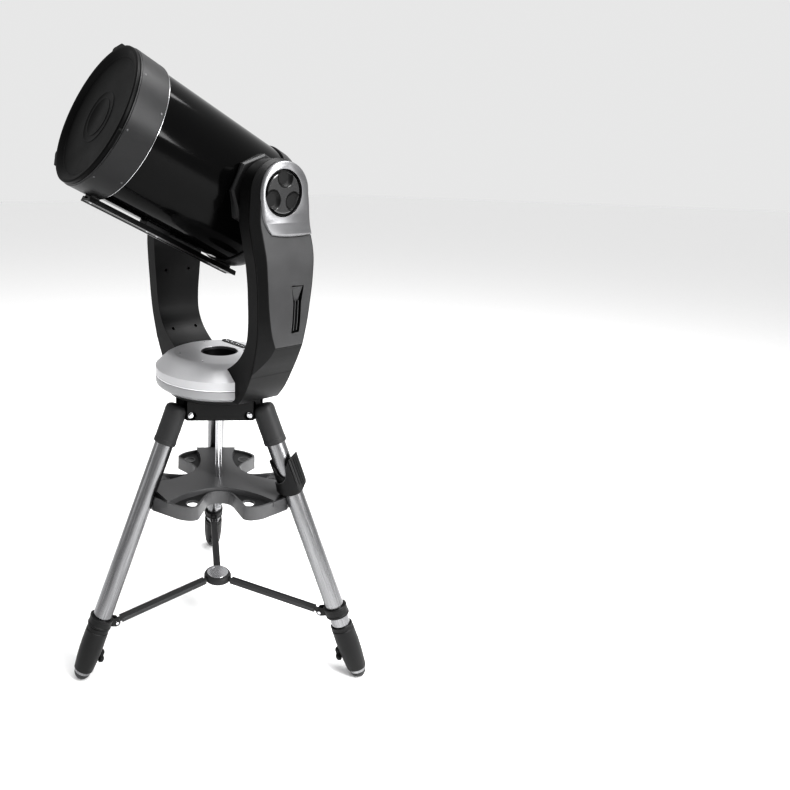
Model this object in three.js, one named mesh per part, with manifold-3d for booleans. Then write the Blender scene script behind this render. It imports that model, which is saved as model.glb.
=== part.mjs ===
// A Schmidt-Cassegrain telescope on a fork mount and a steel field tripod.
// Millimetres, +Z up. The tube points towards -Y and up, and the clutch arm of the fork is at +X.
import * as THREE from "three";
import { mergeVertices } from "three/addons/utils/BufferGeometryUtils.js";
import Module from "manifold-3d";

const wasm = await Module();
wasm.setup();

// ---- driving dimensions ----
const GAP = 0.3; // air between two pieces that touch
const FIT = 0.5; // radial air round a shaft that turns or slides

// How many flats stand for a circle.
const LARGE = 30;
const MEDIUM = 16;
const SMALL = 12;
const TINY = 8;

const radians = THREE.MathUtils.degToRad;
const degrees = THREE.MathUtils.radToDeg;

const LEGS = 3;
const FIRST_LEG = radians(-92); // azimuth of the front leg
const LEG_STEP = (2 * Math.PI) / LEGS;
const LEG_TILT = radians(23.1); // from the vertical
const LEG_TOP = { r: 137, z: 705 }; // where the leg's centre line meets the head
const TUBE_R = 25.4; // two-inch steel leg tube
const TUBE_WALL = 1.8;
const INNER_R = 22.3; // sliding lower leg
const COLLAR_AT = [598, 572, 572]; // along each leg from its top
const BOOT_AT = 612;
const BOOT_LENGTH = 126;
const CLAMP_AT = 700;
const FOOT_AT = 743.5; // centre of the domed foot
const COLLAR_PIN_X = -46;
const PIVOT = { x: -28.6, z: 6.8 }; // leg bolt in the leg's own frame
const HEAD = { bottom: 687, top: 746 };
const SPREADER_Z = 163;
const ROD_R = 9;
const ROD = { bottom: 385, top: 744 };

const TRAY = { bottom: 444, shelf: 478, top: 488, wall: 5 };

const BASE_R = 172.8;
const BASE = { bottom: 748, floor: 765, seam: 792, rim: 819, top: 855, flat: 122, well: 50 };

const AXIS_Z = 1276; // height of the altitude axis
const TUBE_ALTITUDE = radians(26.4);
const ARM = { inner: 188, split: 224, outer: 245, top: 76, bottom: 766 };
const CAP_X = { inner: 237, outer: 250 };
// How far each fork arm bows outwards, as [height, outward shift].
const BOW = [
  [700, 0], [850, 0], [885, 11], [930, 23], [985, 29], [1070, 30], [1130, 26], [1176, 13], [1212, 0], [1400, 0],
];
const SHAFT_R = 30;

const OPTIC_R = 158; // outside of the optical tube
const TUBE_ENDS = { back: -92, front: 305 };
const CELL = { r: 164.5, back: 297, front: 371, bore: 143 };
const REAR = { r: 162.5, front: -70, bend: -118, back: -142 };
const RAIL = { half: 21, top: -168, bottom: -180, back: -124, front: 324 };

// ---- materials ----
function finish(color, roughness, metalness) {
  return new THREE.MeshStandardMaterial({ color, roughness, metalness });
}
const glossBlack = finish(0x08080a, 0.12, 0.1);
const satinBlack = finish(0x17181a, 0.45, 0.1);
const mattBlack = finish(0x0f0f10, 0.8, 0);
const darkGrey = finish(0x3a3c3f, 0.5, 0.1);
const midGrey = finish(0x6d7073, 0.6, 0);
const silver = finish(0xc4c7ca, 0.35, 0.6);
const steel = finish(0xb9bcc0, 0.28, 1);
const brass = finish(0xb08d46, 0.35, 1);
const glass = finish(0xbfd0d8, 0.05, 0);
const mirrorCoat = finish(0xe6e9ec, 0.03, 1);
const rubber = finish(0x151515, 0.9, 0);

// ---- solids ----
// A closed three.js geometry as a solid that can be joined and cut.
function solid(geometry) {
  const bare = new THREE.BufferGeometry();
  bare.setAttribute("position", geometry.getAttribute("position"));
  bare.setIndex(geometry.index);
  const merged = mergeVertices(bare, 1e-3);
  return new wasm.Manifold(
    new wasm.Mesh({
      numProp: 3,
      vertProperties: merged.attributes.position.array,
      triVerts: new Uint32Array(merged.index.array),
    }),
  );
}

function geometryOf(body) {
  const mesh = body.getMesh();
  const geometry = new THREE.BufferGeometry();
  geometry.setAttribute("position", new THREE.BufferAttribute(mesh.vertProperties, 3));
  geometry.setIndex(new THREE.BufferAttribute(mesh.triVerts, 1));
  const flat = geometry.toNonIndexed();
  flat.computeVertexNormals();
  return flat;
}

function piece(group, name, body, material) {
  const mesh = new THREE.Mesh(geometryOf(body), material);
  mesh.name = name;
  group.add(mesh);
  return mesh;
}

const moved = (body, x, y, z) => body.translate([x, y, z]);
const mirrored = (body) => body.mirror([1, 0, 0]);
const polar = (r, turn) => [r * Math.cos(turn), r * Math.sin(turn)];

function box(x0, x1, y0, y1, z0, z1) {
  const geometry = new THREE.BoxGeometry(x1 - x0, y1 - y0, z1 - z0);
  geometry.translate((x0 + x1) / 2, (y0 + y1) / 2, (z0 + z1) / 2);
  return solid(geometry);
}

// A cylinder about Z, from z0 to z1.
function rod(r, z0, z1, sides = SMALL) {
  const geometry = new THREE.CylinderGeometry(r, r, z1 - z0, sides);
  geometry.rotateX(Math.PI / 2);
  geometry.translate(0, 0, (z0 + z1) / 2);
  return solid(geometry);
}

// The same cylinder, laid along X or along Y.
const rodX = (r, x0, x1, sides) => rod(r, x0, x1, sides).rotate([0, 90, 0]);
const rodY = (r, y0, y1, sides) => rod(r, -y1, -y0, sides).rotate([90, 0, 0]);

// A profile of [radius, z] points turned about Z. It starts and ends on the axis, or closes on itself.
function turned(points, sides = MEDIUM) {
  const geometry = new THREE.LatheGeometry(
    points.map(([r, z]) => new THREE.Vector2(r, z)),
    sides,
  );
  geometry.rotateX(Math.PI / 2);
  const body = solid(geometry);
  if (body.volume() > 0) return body;
  return turned([...points].reverse(), sides);
}

const ring = (inner, outer, z0, z1, sides) =>
  turned([[inner, z0], [outer, z0], [outer, z1], [inner, z1], [inner, z0]], sides);

const CURVE_STEPS = 4;

// An outline in X and Y, from z0 to z1.
function plate(shape, z0, z1) {
  const geometry = new THREE.ExtrudeGeometry(shape, {
    depth: z1 - z0,
    bevelEnabled: false,
    curveSegments: CURVE_STEPS,
  });
  geometry.translate(0, 0, z0);
  return solid(geometry);
}

// An outline given in Y and Z, from x0 to x1.
const plateX = (shape, x0, x1) => plate(shape, x0, x1).rotate([90, 0, 90]);

// A solid through outlines with the same number of points, each given as [shape, z]. Its two ends are
// closed by a ladder across the outline, so an outline starts where a line of symmetry crosses it.
function loft(sections) {
  const first = sections[0][0].getPoints(CURVE_STEPS);
  const last = first.length - 1;
  const kept = first.map((point, i) => point.distanceTo(first[i === last ? 0 : i + 1]) > 1e-3);
  const layers = sections.map(([shape, z]) => ({
    points: shape.getPoints(CURVE_STEPS).filter((_, i) => kept[i]),
    z,
  }));
  const count = layers[0].points.length;
  const positions = [];
  for (const { points, z } of layers) for (const { x, y } of points) positions.push(x, y, z);
  const index = [];
  for (let layer = 0; layer + 1 < layers.length; layer++) {
    for (let i = 0; i < count; i++) {
      const a = layer * count + i;
      const b = layer * count + ((i + 1) % count);
      index.push(a, b, b + count, a, b + count, a + count);
    }
  }
  const top = (layers.length - 1) * count;
  for (let i = 0, j = count - 1; i + 1 < j; ) {
    index.push(i, j, i + 1, top + i, top + i + 1, top + j);
    i += 1;
    if (i + 1 >= j) break;
    index.push(i, j, j - 1, top + i, top + j - 1, top + j);
    j -= 1;
  }
  const geometry = new THREE.BufferGeometry();
  geometry.setAttribute("position", new THREE.Float32BufferAttribute(positions, 3));
  geometry.setIndex(index);
  const body = solid(geometry);
  if (body.volume() > 0) return body;
  geometry.setIndex([...index].reverse());
  return solid(geometry);
}

const loftX = (sections) => loft(sections).rotate([90, 0, 90]);

// An outline given in X and Z, from y0 to y1.
const plateY = (shape, y0, y1) => plate(shape, -y1, -y0).rotate([90, 0, 0]);

// A knob about Z: a round body with finger scallops cut from its rim.
function knob(r, z0, z1, lobes, scallop) {
  let body = rod(r, z0, z1, MEDIUM);
  for (let i = 0; i < lobes; i++) {
    const turn = (2 * Math.PI * (i + 0.5)) / lobes;
    const away = r + scallop * 0.55;
    const cut = moved(rod(scallop, z0 - 1, z1 + 1, TINY), away * Math.cos(turn), away * Math.sin(turn), 0);
    body = body.subtract(cut);
  }
  return body;
}

const scope = new THREE.Group();

// ---- tripod ----
const tripod = new THREE.Group();
scope.add(tripod);

const legAzimuth = (index) => FIRST_LEG + index * LEG_STEP;

// A group whose Z axis runs up one leg and whose X axis points outwards.
function legFrame(index) {
  const around = new THREE.Group();
  around.rotation.z = legAzimuth(index);
  const leg = new THREE.Group();
  leg.position.set(LEG_TOP.r, 0, LEG_TOP.z);
  leg.rotation.y = -LEG_TILT;
  around.add(leg);
  tripod.add(around);
  return leg;
}

// Everything under the floor, in the leg's own frame.
function belowFloor() {
  const half = 60;
  const slab = box(-half, half, -half, half, -half, 0);
  const drop = LEG_TOP.z / Math.cos(LEG_TILT);
  return moved(slab.rotate([0, degrees(LEG_TILT), 0]), 0, 0, -drop);
}

function yoke() {
  const sleeve = turned([
    [0, -88], [28.5, -88], [30.5, -84], [30.5, 8], [26, 18], [0, 22],
  ], SMALL);
  const lug = box(PIVOT.x - 14, 0, -15.5, 15.5, PIVOT.z - 16, PIVOT.z + 10);
  return sleeve
    .add(lug)
    .subtract(rod(TUBE_R + GAP, -89, -16, SMALL))
    .subtract(moved(rodY(5 + FIT, -20, 20, TINY), PIVOT.x, 0, PIVOT.z));
}

function pivotBolt() {
  const shank = rodY(5, -37, 37, TINY);
  const heads = rodY(8, -37, -31.5, 6).add(rodY(8, 31.5, 37, 6));
  return moved(shank.add(heads), PIVOT.x, 0, PIVOT.z);
}

function collar(at) {
  let body = ring(TUBE_R + GAP, 32, -at - 13, -at + 13, SMALL);
  for (const side of [-1, 1]) {
    body = body.add(box(-55, -28, side * 9.5 - 2.5, side * 9.5 + 2.5, -at - 10, -at + 10));
  }
  return body
    .subtract(rod(TUBE_R + GAP, -at - 20, -at + 20, SMALL))
    .subtract(moved(rodY(3, -20, 20, TINY), COLLAR_PIN_X, 0, -at));
}

function boot() {
  const top = -BOOT_AT;
  const bottom = top - BOOT_LENGTH;
  const skin = turned([
    [TUBE_R + GAP, top], [29.5, top], [30.5, top - 5], [31, top - 52], [29.5, top - 84], [25.5, bottom],
    [INNER_R + FIT, bottom], [INNER_R + FIT, top - 30], [TUBE_R + GAP, top - 30], [TUBE_R + GAP, top],
  ], SMALL);
  const boss = moved(rodX(10, -31, -24, TINY), 0, 0, -CLAMP_AT);
  return skin
    .add(boss)
    .subtract(moved(rodX(4 + FIT, -40, -20, TINY), 0, 0, -CLAMP_AT))
    .subtract(rod(INNER_R + FIT, bottom - 1, top - 30, SMALL));
}

function clampKnob() {
  const grip = knob(18, 31 + GAP, 43, 3, 11);
  const stem = rod(4, INNER_R + 1, 33, TINY);
  return moved(grip.add(stem).rotate([0, -90, 0]), 0, 0, -CLAMP_AT);
}

function innerLeg() {
  const top = -200;
  const profile = [[INNER_R, top]];
  const steps = 3;
  for (let i = 0; i <= steps; i++) {
    const turn = (Math.PI / 2) * (i / steps);
    profile.push([INNER_R * Math.cos(turn), -FOOT_AT - INNER_R * Math.sin(turn)]);
  }
  profile.push([0, -FOOT_AT], [INNER_R - 2.3, -FOOT_AT], [INNER_R - 2.3, top], [INNER_R, top]);
  profile[steps + 1][0] = 0;
  return turned(profile, SMALL).subtract(belowFloor());
}

const legs = [];
for (let i = 0; i < LEGS; i++) {
  const leg = legFrame(i);
  legs.push(leg);
  const number = i + 1;
  piece(leg, `leg_yoke_${number}`, yoke(), darkGrey);
  piece(leg, `leg_pivot_bolt_${number}`, pivotBolt(), steel);
  piece(leg, `upper_leg_tube_${number}`, ring(TUBE_R - TUBE_WALL, TUBE_R, -BOOT_AT - 29, -17, SMALL), steel);
  piece(leg, `spreader_collar_${number}`, collar(COLLAR_AT[i]), satinBlack);
  piece(leg, `leg_clamp_boot_${number}`, boot(), satinBlack);
  piece(leg, `leg_clamp_knob_${number}`, clampKnob(), satinBlack);
  piece(leg, `inner_leg_${number}`, innerLeg(), steel);
}

// The leg's centre line as a round bar in the tripod's frame, for cutting room round the legs.
function legBar(r, index, from = 60, to = -BOOT_AT) {
  const tilted = rod(r, to, from, SMALL).rotate([0, -degrees(LEG_TILT), 0]);
  return moved(tilted, LEG_TOP.r, 0, LEG_TOP.z).rotate([0, 0, degrees(legAzimuth(index))]);
}

// Does the same cut or join once for each leg, with the piece turned to that leg.
function eachLeg(body, act) {
  for (let i = 0; i < LEGS; i++) {
    body = act(body, degrees(legAzimuth(i)), i);
  }
  return body;
}

function tripodHead() {
  const outline = new THREE.Shape();
  for (let i = 0; i < LEGS; i++) {
    for (const side of [-31, 31]) {
      const turn = legAzimuth(i);
      const x = 118 * Math.cos(turn) - side * Math.sin(turn);
      const y = 118 * Math.sin(turn) + side * Math.cos(turn);
      if (i === 0 && side < 0) outline.moveTo(x, y);
      else outline.lineTo(x, y);
    }
  }
  let body = plate(outline, HEAD.bottom, HEAD.top);
  body = body.subtract(rod(66, HEAD.bottom - 1, HEAD.top - 10, MEDIUM));
  body = body.add(rod(26, HEAD.bottom - 12, HEAD.top - 5, SMALL));
  body = body.subtract(rod(ROD_R + FIT, HEAD.bottom - 20, HEAD.top + 1, SMALL));
  const boltZ = LEG_TOP.z + PIVOT.x * Math.sin(LEG_TILT) + PIVOT.z * Math.cos(LEG_TILT);
  const boltR = LEG_TOP.r + PIVOT.x * Math.cos(LEG_TILT) - PIVOT.z * Math.sin(LEG_TILT);
  body = eachLeg(body, (head, turn) => {
    const slot = box(boltR - 28, 150, -16, 16, HEAD.bottom - 5, HEAD.top + 5);
    const hole = moved(rodY(5 + FIT, -60, 60, TINY), boltR, 0, boltZ);
    const seats = moved(rodY(12, 31, 70, TINY).add(rodY(12, -70, -31, TINY)), boltR, 0, boltZ);
    return head.subtract(slot.add(hole).add(seats).rotate([0, 0, turn]));
  });
  return eachLeg(body, (head, turn, i) => head.subtract(legBar(31, i)));
}
piece(tripod, "tripod_head", tripodHead(), satinBlack);

piece(tripod, "support_rod", rod(ROD_R, ROD.bottom, ROD.top, SMALL), steel);

function spreaderHub() {
  const body = turned([
    [0, 151], [30, 151], [40, 156], [40, 168], [34, 175], [0, 177],
  ], MEDIUM);
  return eachLeg(body, (hub, turn) => hub.subtract(box(24, 50, -6, 6, 140, 171).rotate([0, 0, turn])));
}
piece(tripod, "spreader_hub", spreaderHub(), darkGrey);

// A flat bar with a narrow tongue at each end: one in the hub's slot, one between the collar's ears.
function spreaderBar(index) {
  const hubR = 34;
  const along = COLLAR_AT[index];
  const pinR = LEG_TOP.r + COLLAR_PIN_X * Math.cos(LEG_TILT) + along * Math.sin(LEG_TILT);
  const pinZ = LEG_TOP.z + COLLAR_PIN_X * Math.sin(LEG_TILT) - along * Math.cos(LEG_TILT);
  const length = Math.hypot(pinR - hubR, pinZ - SPREADER_Z);
  const dip = degrees(Math.atan2(SPREADER_Z - pinZ, pinR - hubR));
  const flat = box(11, length - 16, -10.5, 10.5, -6, 6);
  const tongues = box(-6, length + 5, -5.5, 5.5, -5, 5);
  const bar = flat.add(tongues).rotate([0, dip, 0]);
  return moved(bar, hubR, 0, SPREADER_Z).rotate([0, 0, degrees(legAzimuth(index))]);
}
for (let i = 0; i < LEGS; i++) piece(tripod, `spreader_bar_${i + 1}`, spreaderBar(i), satinBlack);

// The tray's outline: three wide blades that end at the legs, with a U-shaped gap between each two.
function trayOutline(inset) {
  const shape = new THREE.Shape();
  const corner = (r, away, leg, first) => {
    const [x, y] = polar(r - inset, leg + away);
    if (first) shape.moveTo(x, y);
    else shape.lineTo(x, y);
  };
  const trim = inset / 150;
  for (let i = 0; i < LEGS; i++) {
    const leg = legAzimuth(i);
    const gap = leg + LEG_STEP / 2;
    corner(216, -radians(4), leg, i === 0);
    corner(216, radians(4), leg);
    corner(201, radians(26), leg);
    const [tipX, tipY] = polar(199 - inset, gap - radians(22) - trim);
    const [inX, inY] = polar(178, gap - radians(19) - trim);
    shape.quadraticCurveTo(tipX, tipY, inX, inY);
    corner(118 + inset, -radians(19) - trim, gap);
    const side = radians(19) + trim;
    shape.quadraticCurveTo(...polar(88 - inset, gap - side), ...polar(84 - inset, gap));
    shape.quadraticCurveTo(...polar(88 - inset, gap + side), ...polar(118 + inset, gap + side));
    shape.lineTo(...polar(178, gap + side));
    const bladeTip = polar(199 - inset, gap + radians(22) + trim);
    shape.quadraticCurveTo(...bladeTip, ...polar(201 - inset, gap + radians(34)));
  }
  return shape;
}

// The raised star that stiffens the tray, with three hollow sides.
function trayStar() {
  const shape = new THREE.Shape();
  for (let i = 0; i < LEGS; i++) {
    const leg = legAzimuth(i);
    const gap = leg + LEG_STEP / 2;
    const start = polar(206, leg - radians(11));
    if (i === 0) shape.moveTo(...start);
    else shape.lineTo(...start);
    shape.lineTo(...polar(206, leg + radians(11)));
    shape.lineTo(...polar(162, leg + radians(18)));
    shape.quadraticCurveTo(...polar(92, gap - radians(34)), ...polar(75, gap));
    shape.quadraticCurveTo(...polar(92, gap + radians(34)), ...polar(162, gap + radians(42)));
  }
  return shape;
}

function accessoryTray() {
  let body = plate(trayOutline(0), TRAY.bottom, TRAY.shelf);
  const hollow = plate(trayOutline(TRAY.wall), TRAY.bottom - 1, TRAY.shelf - 5);
  body = body.subtract(hollow);
  body = body.add(plate(trayStar(), TRAY.shelf - 5, TRAY.top));
  body = body.add(rod(22, TRAY.bottom + 4, TRAY.top, SMALL));
  for (let i = 0; i < LEGS; i++) {
    for (const side of [-1, 1]) {
      const [x, y] = polar(157, FIRST_LEG + (i + 0.5) * LEG_STEP + side * radians(28));
      body = body.subtract(moved(rod(16, TRAY.shelf - 8, TRAY.top + 1, SMALL), x, y, 0));
    }
  }
  body = body.subtract(rod(ROD_R + FIT, TRAY.bottom - 1, TRAY.top + 1, SMALL));
  return eachLeg(body, (tray, turn, i) => tray.subtract(legBar(TUBE_R + 1, i)));
}
piece(tripod, "accessory_tray", accessoryTray(), midGrey);

const trayKnob = knob(27, 410, TRAY.bottom + 4 - GAP, 3, 16).subtract(rod(ROD_R + FIT, 400, 460, SMALL));
piece(tripod, "tray_knob", trayKnob, satinBlack);

// A clip round the second leg, with a shield that stands off above it so that things hang behind.
function legHolder() {
  const top = -132;
  const bottom = -218;
  const shield = ring(33, 36.5, bottom, top, MEDIUM);
  const clip = ring(TUBE_R + GAP, 34, -214, -180, MEDIUM);
  const mouth = new THREE.Shape();
  mouth.moveTo(0, 0);
  for (const turn of [40, 85, 140, 195]) mouth.lineTo(...polar(70, radians(turn)));
  mouth.closePath();
  const scoop = box(-80, 0, -80, 20, -5, 80).rotate([0, -12, 28]);
  const notch = box(0, 80, -80, 80, -80, 0).rotate([0, -14, 28]);
  return shield
    .add(clip)
    .subtract(rod(TUBE_R + GAP, bottom - 1, top + 1, SMALL))
    .subtract(plate(mouth, bottom - 1, top + 1))
    .subtract(moved(scoop, 0, 0, -157))
    .subtract(moved(notch, 0, 0, bottom + 12));
}
piece(legs[1], "leg_holder", legHolder(), satinBlack);

// ---- drive base ----
const base = new THREE.Group();
scope.add(base);

function basePan() {
  return turned([
    [ROD_R + 2, BASE.bottom], [138, BASE.bottom], [144, BASE.bottom + 6], [144, BASE.floor - 4],
    [46, BASE.floor - 4], [46, 796], [ROD_R + 2, 796], [ROD_R + 2, BASE.bottom],
  ], MEDIUM);
}
piece(base, "base_pan", basePan(), satinBlack);

// A toothed rim: a ring with straight-sided teeth.
function gear(inner, root, tip, z0, z1, teeth) {
  const shape = new THREE.Shape();
  for (let i = 0; i < teeth; i++) {
    const at = (2 * Math.PI * i) / teeth;
    const part = (2 * Math.PI) / teeth / 4;
    if (i === 0) shape.moveTo(root, 0);
    else shape.lineTo(...polar(root, at));
    shape.lineTo(...polar(tip, at + part));
    shape.lineTo(...polar(tip, at + 2 * part));
    shape.lineTo(...polar(root, at + 3 * part));
  }
  shape.closePath();
  return plate(shape, z0, z1).subtract(rod(inner, z0 - 1, z1 + 1, MEDIUM));
}
piece(base, "azimuth_wheel", gear(46 + GAP, 104, 107, 773, 785, 20), brass);

function driveBase() {
  return turned([
    [50, BASE.floor], [150, BASE.floor - 3], [168, BASE.floor + 6], [BASE_R, BASE.floor + 14],
    [BASE_R, BASE.seam - GAP], [BASE_R - 4, BASE.seam - GAP], [BASE_R - 4, BASE.floor + 16],
    [165, BASE.floor + 10], [149, BASE.floor + 4], [50, BASE.floor + 4], [50, BASE.floor],
  ], LARGE);
}

function baseCover() {
  return turned([
    [BASE_R, BASE.seam], [BASE_R, BASE.rim], [168, BASE.rim + 8], [148, 842], [BASE.flat, BASE.top - 1],
    [BASE.well, BASE.top], [BASE.well, BASE.top - 7], [BASE.flat, BASE.top - 6],
    [146, 836], [BASE_R - 4, BASE.rim - 2], [BASE_R - 4, BASE.seam], [BASE_R, BASE.seam],
  ], LARGE);
}

// The outside of the drive base, grown by a little, for fitting the fork's feet round it.
function baseEnvelope(gap) {
  return turned([
    [0, 700], [150 + gap, 700], [150 + gap, BASE.floor - 3], [168 + gap, BASE.floor + 6],
    [BASE_R + gap, BASE.floor + 14], [BASE_R + gap, BASE.rim], [168 + gap, BASE.rim + 8 + gap],
    [148 + gap, 842 + gap], [BASE.flat, BASE.top - 1 + gap], [0, BASE.top + gap],
  ], LARGE);
}

piece(base, "drive_base", driveBase(), silver);

const portPlaces = [-74, -50, -26, -2];
function portPanel() {
  const outline = new THREE.Shape();
  outline.moveTo(-84, 69);
  outline.lineTo(8, 69);
  outline.absarc(8, 80, 11, -Math.PI / 2, Math.PI / 2, false);
  outline.lineTo(-84, 91);
  outline.absarc(-84, 80, 11, Math.PI / 2, (3 * Math.PI) / 2, false);
  let body = plate(outline, BASE.top - 12, BASE.top + 1.5);
  for (const x of portPlaces) {
    body = body.subtract(moved(rod(7, BASE.top - 8, BASE.top + 3, TINY), x, 80, 0));
  }
  return body;
}
const portOpening = box(-95.6, 19.6, 68.6, 91.4, BASE.top - 14, BASE.top + 4);
const switchOpening = box(28, 52, 56, 70, BASE.top - 14, BASE.top + 4);
const coverScrews = [[-40, -100], [60, -92], [100, 30], [-108, 20]];
let cover = baseCover().subtract(portOpening).subtract(switchOpening);
for (const [x, y] of coverScrews) {
  cover = cover.subtract(moved(rod(3, BASE.top - 20, BASE.top + 3, TINY), x, y, 0));
}
piece(base, "base_cover", cover, silver);
piece(base, "port_panel", portPanel(), satinBlack);

function powerSwitch() {
  const rocker = new THREE.Shape();
  rocker.moveTo(30, 845);
  rocker.lineTo(50, 845);
  rocker.lineTo(50, 859);
  rocker.lineTo(40, 856.8);
  rocker.lineTo(30, 855.9);
  rocker.closePath();
  return plateY(rocker, 57, 69);
}
piece(base, "power_switch", powerSwitch(), mattBlack);

const centerWell = turned([
  [0, 818], [46, 818], [BASE.well - GAP, 824], [BASE.well - GAP, BASE.top - 8.2],
  [BASE.well - 3, BASE.top - 8.2], [BASE.well - 3, 826], [44, 821], [0, 821],
], MEDIUM);
piece(base, "center_well", centerWell, mattBlack);

function azimuthMotor() {
  const gearbox = box(109, 141, -26, 26, 771.5, 800);
  const can = moved(rodY(13, -62, -25, SMALL), 126, 0, 786);
  return gearbox.add(can).subtract(rod(108.5, 760, 790, MEDIUM));
}
piece(base, "azimuth_motor", azimuthMotor(), darkGrey);

// ---- fork ----
const fork = new THREE.Group();
scope.add(fork);

// Bends a piece of the right arm outwards by BOW, one level slice at a time.
function bowed(body) {
  const slices = [];
  for (let i = 0; i + 1 < BOW.length; i++) {
    const [z0, shift0] = BOW[i];
    const [z1, shift1] = BOW[i + 1];
    const lean = (shift1 - shift0) / (z1 - z0);
    const slice = body.intersect(box(100, 300, -200, 200, z0, z1));
    slices.push(slice.transform([1, 0, 0, 0, 0, 1, 0, 0, lean, 0, 1, 0, shift0 - lean * z0, 0, 0, 1]));
  }
  return wasm.Manifold.union(slices);
}

// The arm seen from the side, in Y and Z. It widens upwards, more to the rear than to the front.
function armSide(inset = 0) {
  const shape = new THREE.Shape();
  const front = (width) => inset - width;
  const rear = (width) => width - inset;
  shape.moveTo(front(62), ARM.bottom + inset);
  shape.lineTo(front(64), 850);
  shape.bezierCurveTo(front(66), 950, front(70), 1050, front(80), 1150);
  shape.bezierCurveTo(front(80), 1200, front(78), 1240, front(ARM.top), AXIS_Z);
  shape.absarc(0, AXIS_Z, ARM.top - inset, Math.PI, 0, true);
  shape.bezierCurveTo(rear(82), 1240, rear(88), 1200, rear(85), 1150);
  shape.bezierCurveTo(rear(80), 1060, rear(64), 960, rear(64), 850);
  shape.lineTo(rear(62), ARM.bottom + inset);
  shape.closePath();
  return shape;
}

// The flat of the arm's outer face, which runs down to a point at the front.
function armPanel() {
  const shape = new THREE.Shape();
  shape.moveTo(-3, 884);
  shape.lineTo(-14, 906);
  shape.bezierCurveTo(-42, 945, -60, 985, -62, 1150);
  shape.bezierCurveTo(-64, 1200, -62, 1240, -62, AXIS_Z);
  shape.absarc(0, AXIS_Z, 62, Math.PI, 0, true);
  shape.bezierCurveTo(72, 1240, 80, 1200, 79, 1150);
  shape.bezierCurveTo(74, 1060, 58, 960, 56, 900);
  shape.lineTo(54, 886);
  shape.closePath();
  return shape;
}

// The arm seen from the front, in X and Z: straight above, swept in under the tube below.
function armFront() {
  const shape = new THREE.Shape();
  shape.moveTo(ARM.outer + 5, 1360);
  shape.lineTo(ARM.inner, 1360);
  shape.lineTo(ARM.inner, 960);
  shape.bezierCurveTo(ARM.inner, 905, 168, 872, 128, 846);
  shape.lineTo(128, ARM.bottom - 4);
  shape.lineTo(170, ARM.bottom - 4);
  shape.bezierCurveTo(198, 790, 240, 845, ARM.outer + 5, 965);
  shape.closePath();
  return shape;
}

const armBlock = plateY(armFront(), -110, 110).subtract(baseEnvelope(GAP));

function armCasting() {
  let body = plateX(armSide(), 120, ARM.split).intersect(armBlock);
  const foot = box(150, 260, -120, 120, 700, 980);
  body = body.subtract(plateX(armSide(9), ARM.inner + 8, ARM.split + 1).subtract(foot));
  body = body.subtract(moved(rodX(SHAFT_R + 1, 100, 260, MEDIUM), 0, 0, AXIS_Z));
  for (const z of [885, 1050]) {
    for (const y of [-38, 38]) body = body.subtract(moved(rodX(4, 140, 260, TINY), 0, y, z));
  }
  return body;
}

// Under this line the outer shell is bare, and above it the silver cap lies over the shell.
function capOutline(grow) {
  const shape = new THREE.Shape();
  shape.moveTo(-58 - grow, 1230);
  shape.bezierCurveTo(-52 - grow, 1205, -46 - grow, 1194, -38, 1184 - grow);
  shape.quadraticCurveTo(10, 1174 - grow, 80 + grow, 1182 - grow);
  shape.bezierCurveTo(82 + grow, 1215, 80 + grow, 1245, 74 + grow, AXIS_Z);
  shape.absarc(6, AXIS_Z + 2, 68 + grow, 0, Math.PI, false);
  shape.lineTo(-62 - grow, AXIS_Z - 10);
  shape.closePath();
  return shape;
}

function armShell() {
  const skin = loftX([[armSide(), ARM.split - 18], [armSide(), ARM.split + 4], [armPanel(), ARM.outer]]);
  let body = skin.intersect(armBlock).subtract(box(0, ARM.split + GAP, -200, 200, 700, 1500));
  const foot = box(150, 260, -120, 120, 700, 990);
  body = body.subtract(plateX(armSide(18), ARM.split - 1, ARM.outer - 12).subtract(foot));
  body = body.subtract(plateX(capOutline(1), CAP_X.inner - GAP, CAP_X.outer + 5));
  return body;
}

function armCap(open) {
  const body = loftX([
    [capOutline(0), CAP_X.inner], [capOutline(0), CAP_X.outer - 4], [capOutline(-4), CAP_X.outer],
  ]);
  if (!open) return body;
  return body.subtract(moved(rodX(52.5, CAP_X.inner - 5, CAP_X.outer + 5, MEDIUM), 0, 0, AXIS_Z));
}

// The slot in the clutch arm's shell where the hand control hangs.
function holster(x0, x1) {
  const shape = new THREE.Shape();
  shape.moveTo(10, 1070);
  shape.lineTo(46, 1068);
  shape.lineTo(40, 1028);
  shape.lineTo(40, 958);
  shape.lineTo(17, 956);
  shape.lineTo(17, 1028);
  shape.closePath();
  return plateX(shape, x0, x1);
}

const rightShell = armShell().subtract(holster(ARM.outer - 8, ARM.outer + 20));
piece(fork, "fork_arm_right", bowed(armCasting()), satinBlack);
piece(fork, "fork_arm_left", mirrored(bowed(armCasting())), satinBlack);
piece(fork, "arm_shell_right", bowed(rightShell), darkGrey);
piece(fork, "arm_shell_left", mirrored(bowed(armShell())), darkGrey);
piece(fork, "arm_cap_right", bowed(armCap(true)), silver);
piece(fork, "arm_cap_left", mirrored(bowed(armCap(false))), silver);

function altitudeMotor() {
  const gearbox = box(ARM.inner + 9, ARM.split - 2, -38, 38, 1160, 1198);
  const can = moved(rod(14, 1100, 1162, SMALL), (ARM.inner + ARM.split) / 2 + 4, -18, 0);
  return gearbox.add(can).subtract(moved(rodX(66, 150, 260, MEDIUM), 0, 0, AXIS_Z));
}
piece(fork, "altitude_motor", bowed(altitudeMotor()), darkGrey);

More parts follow.
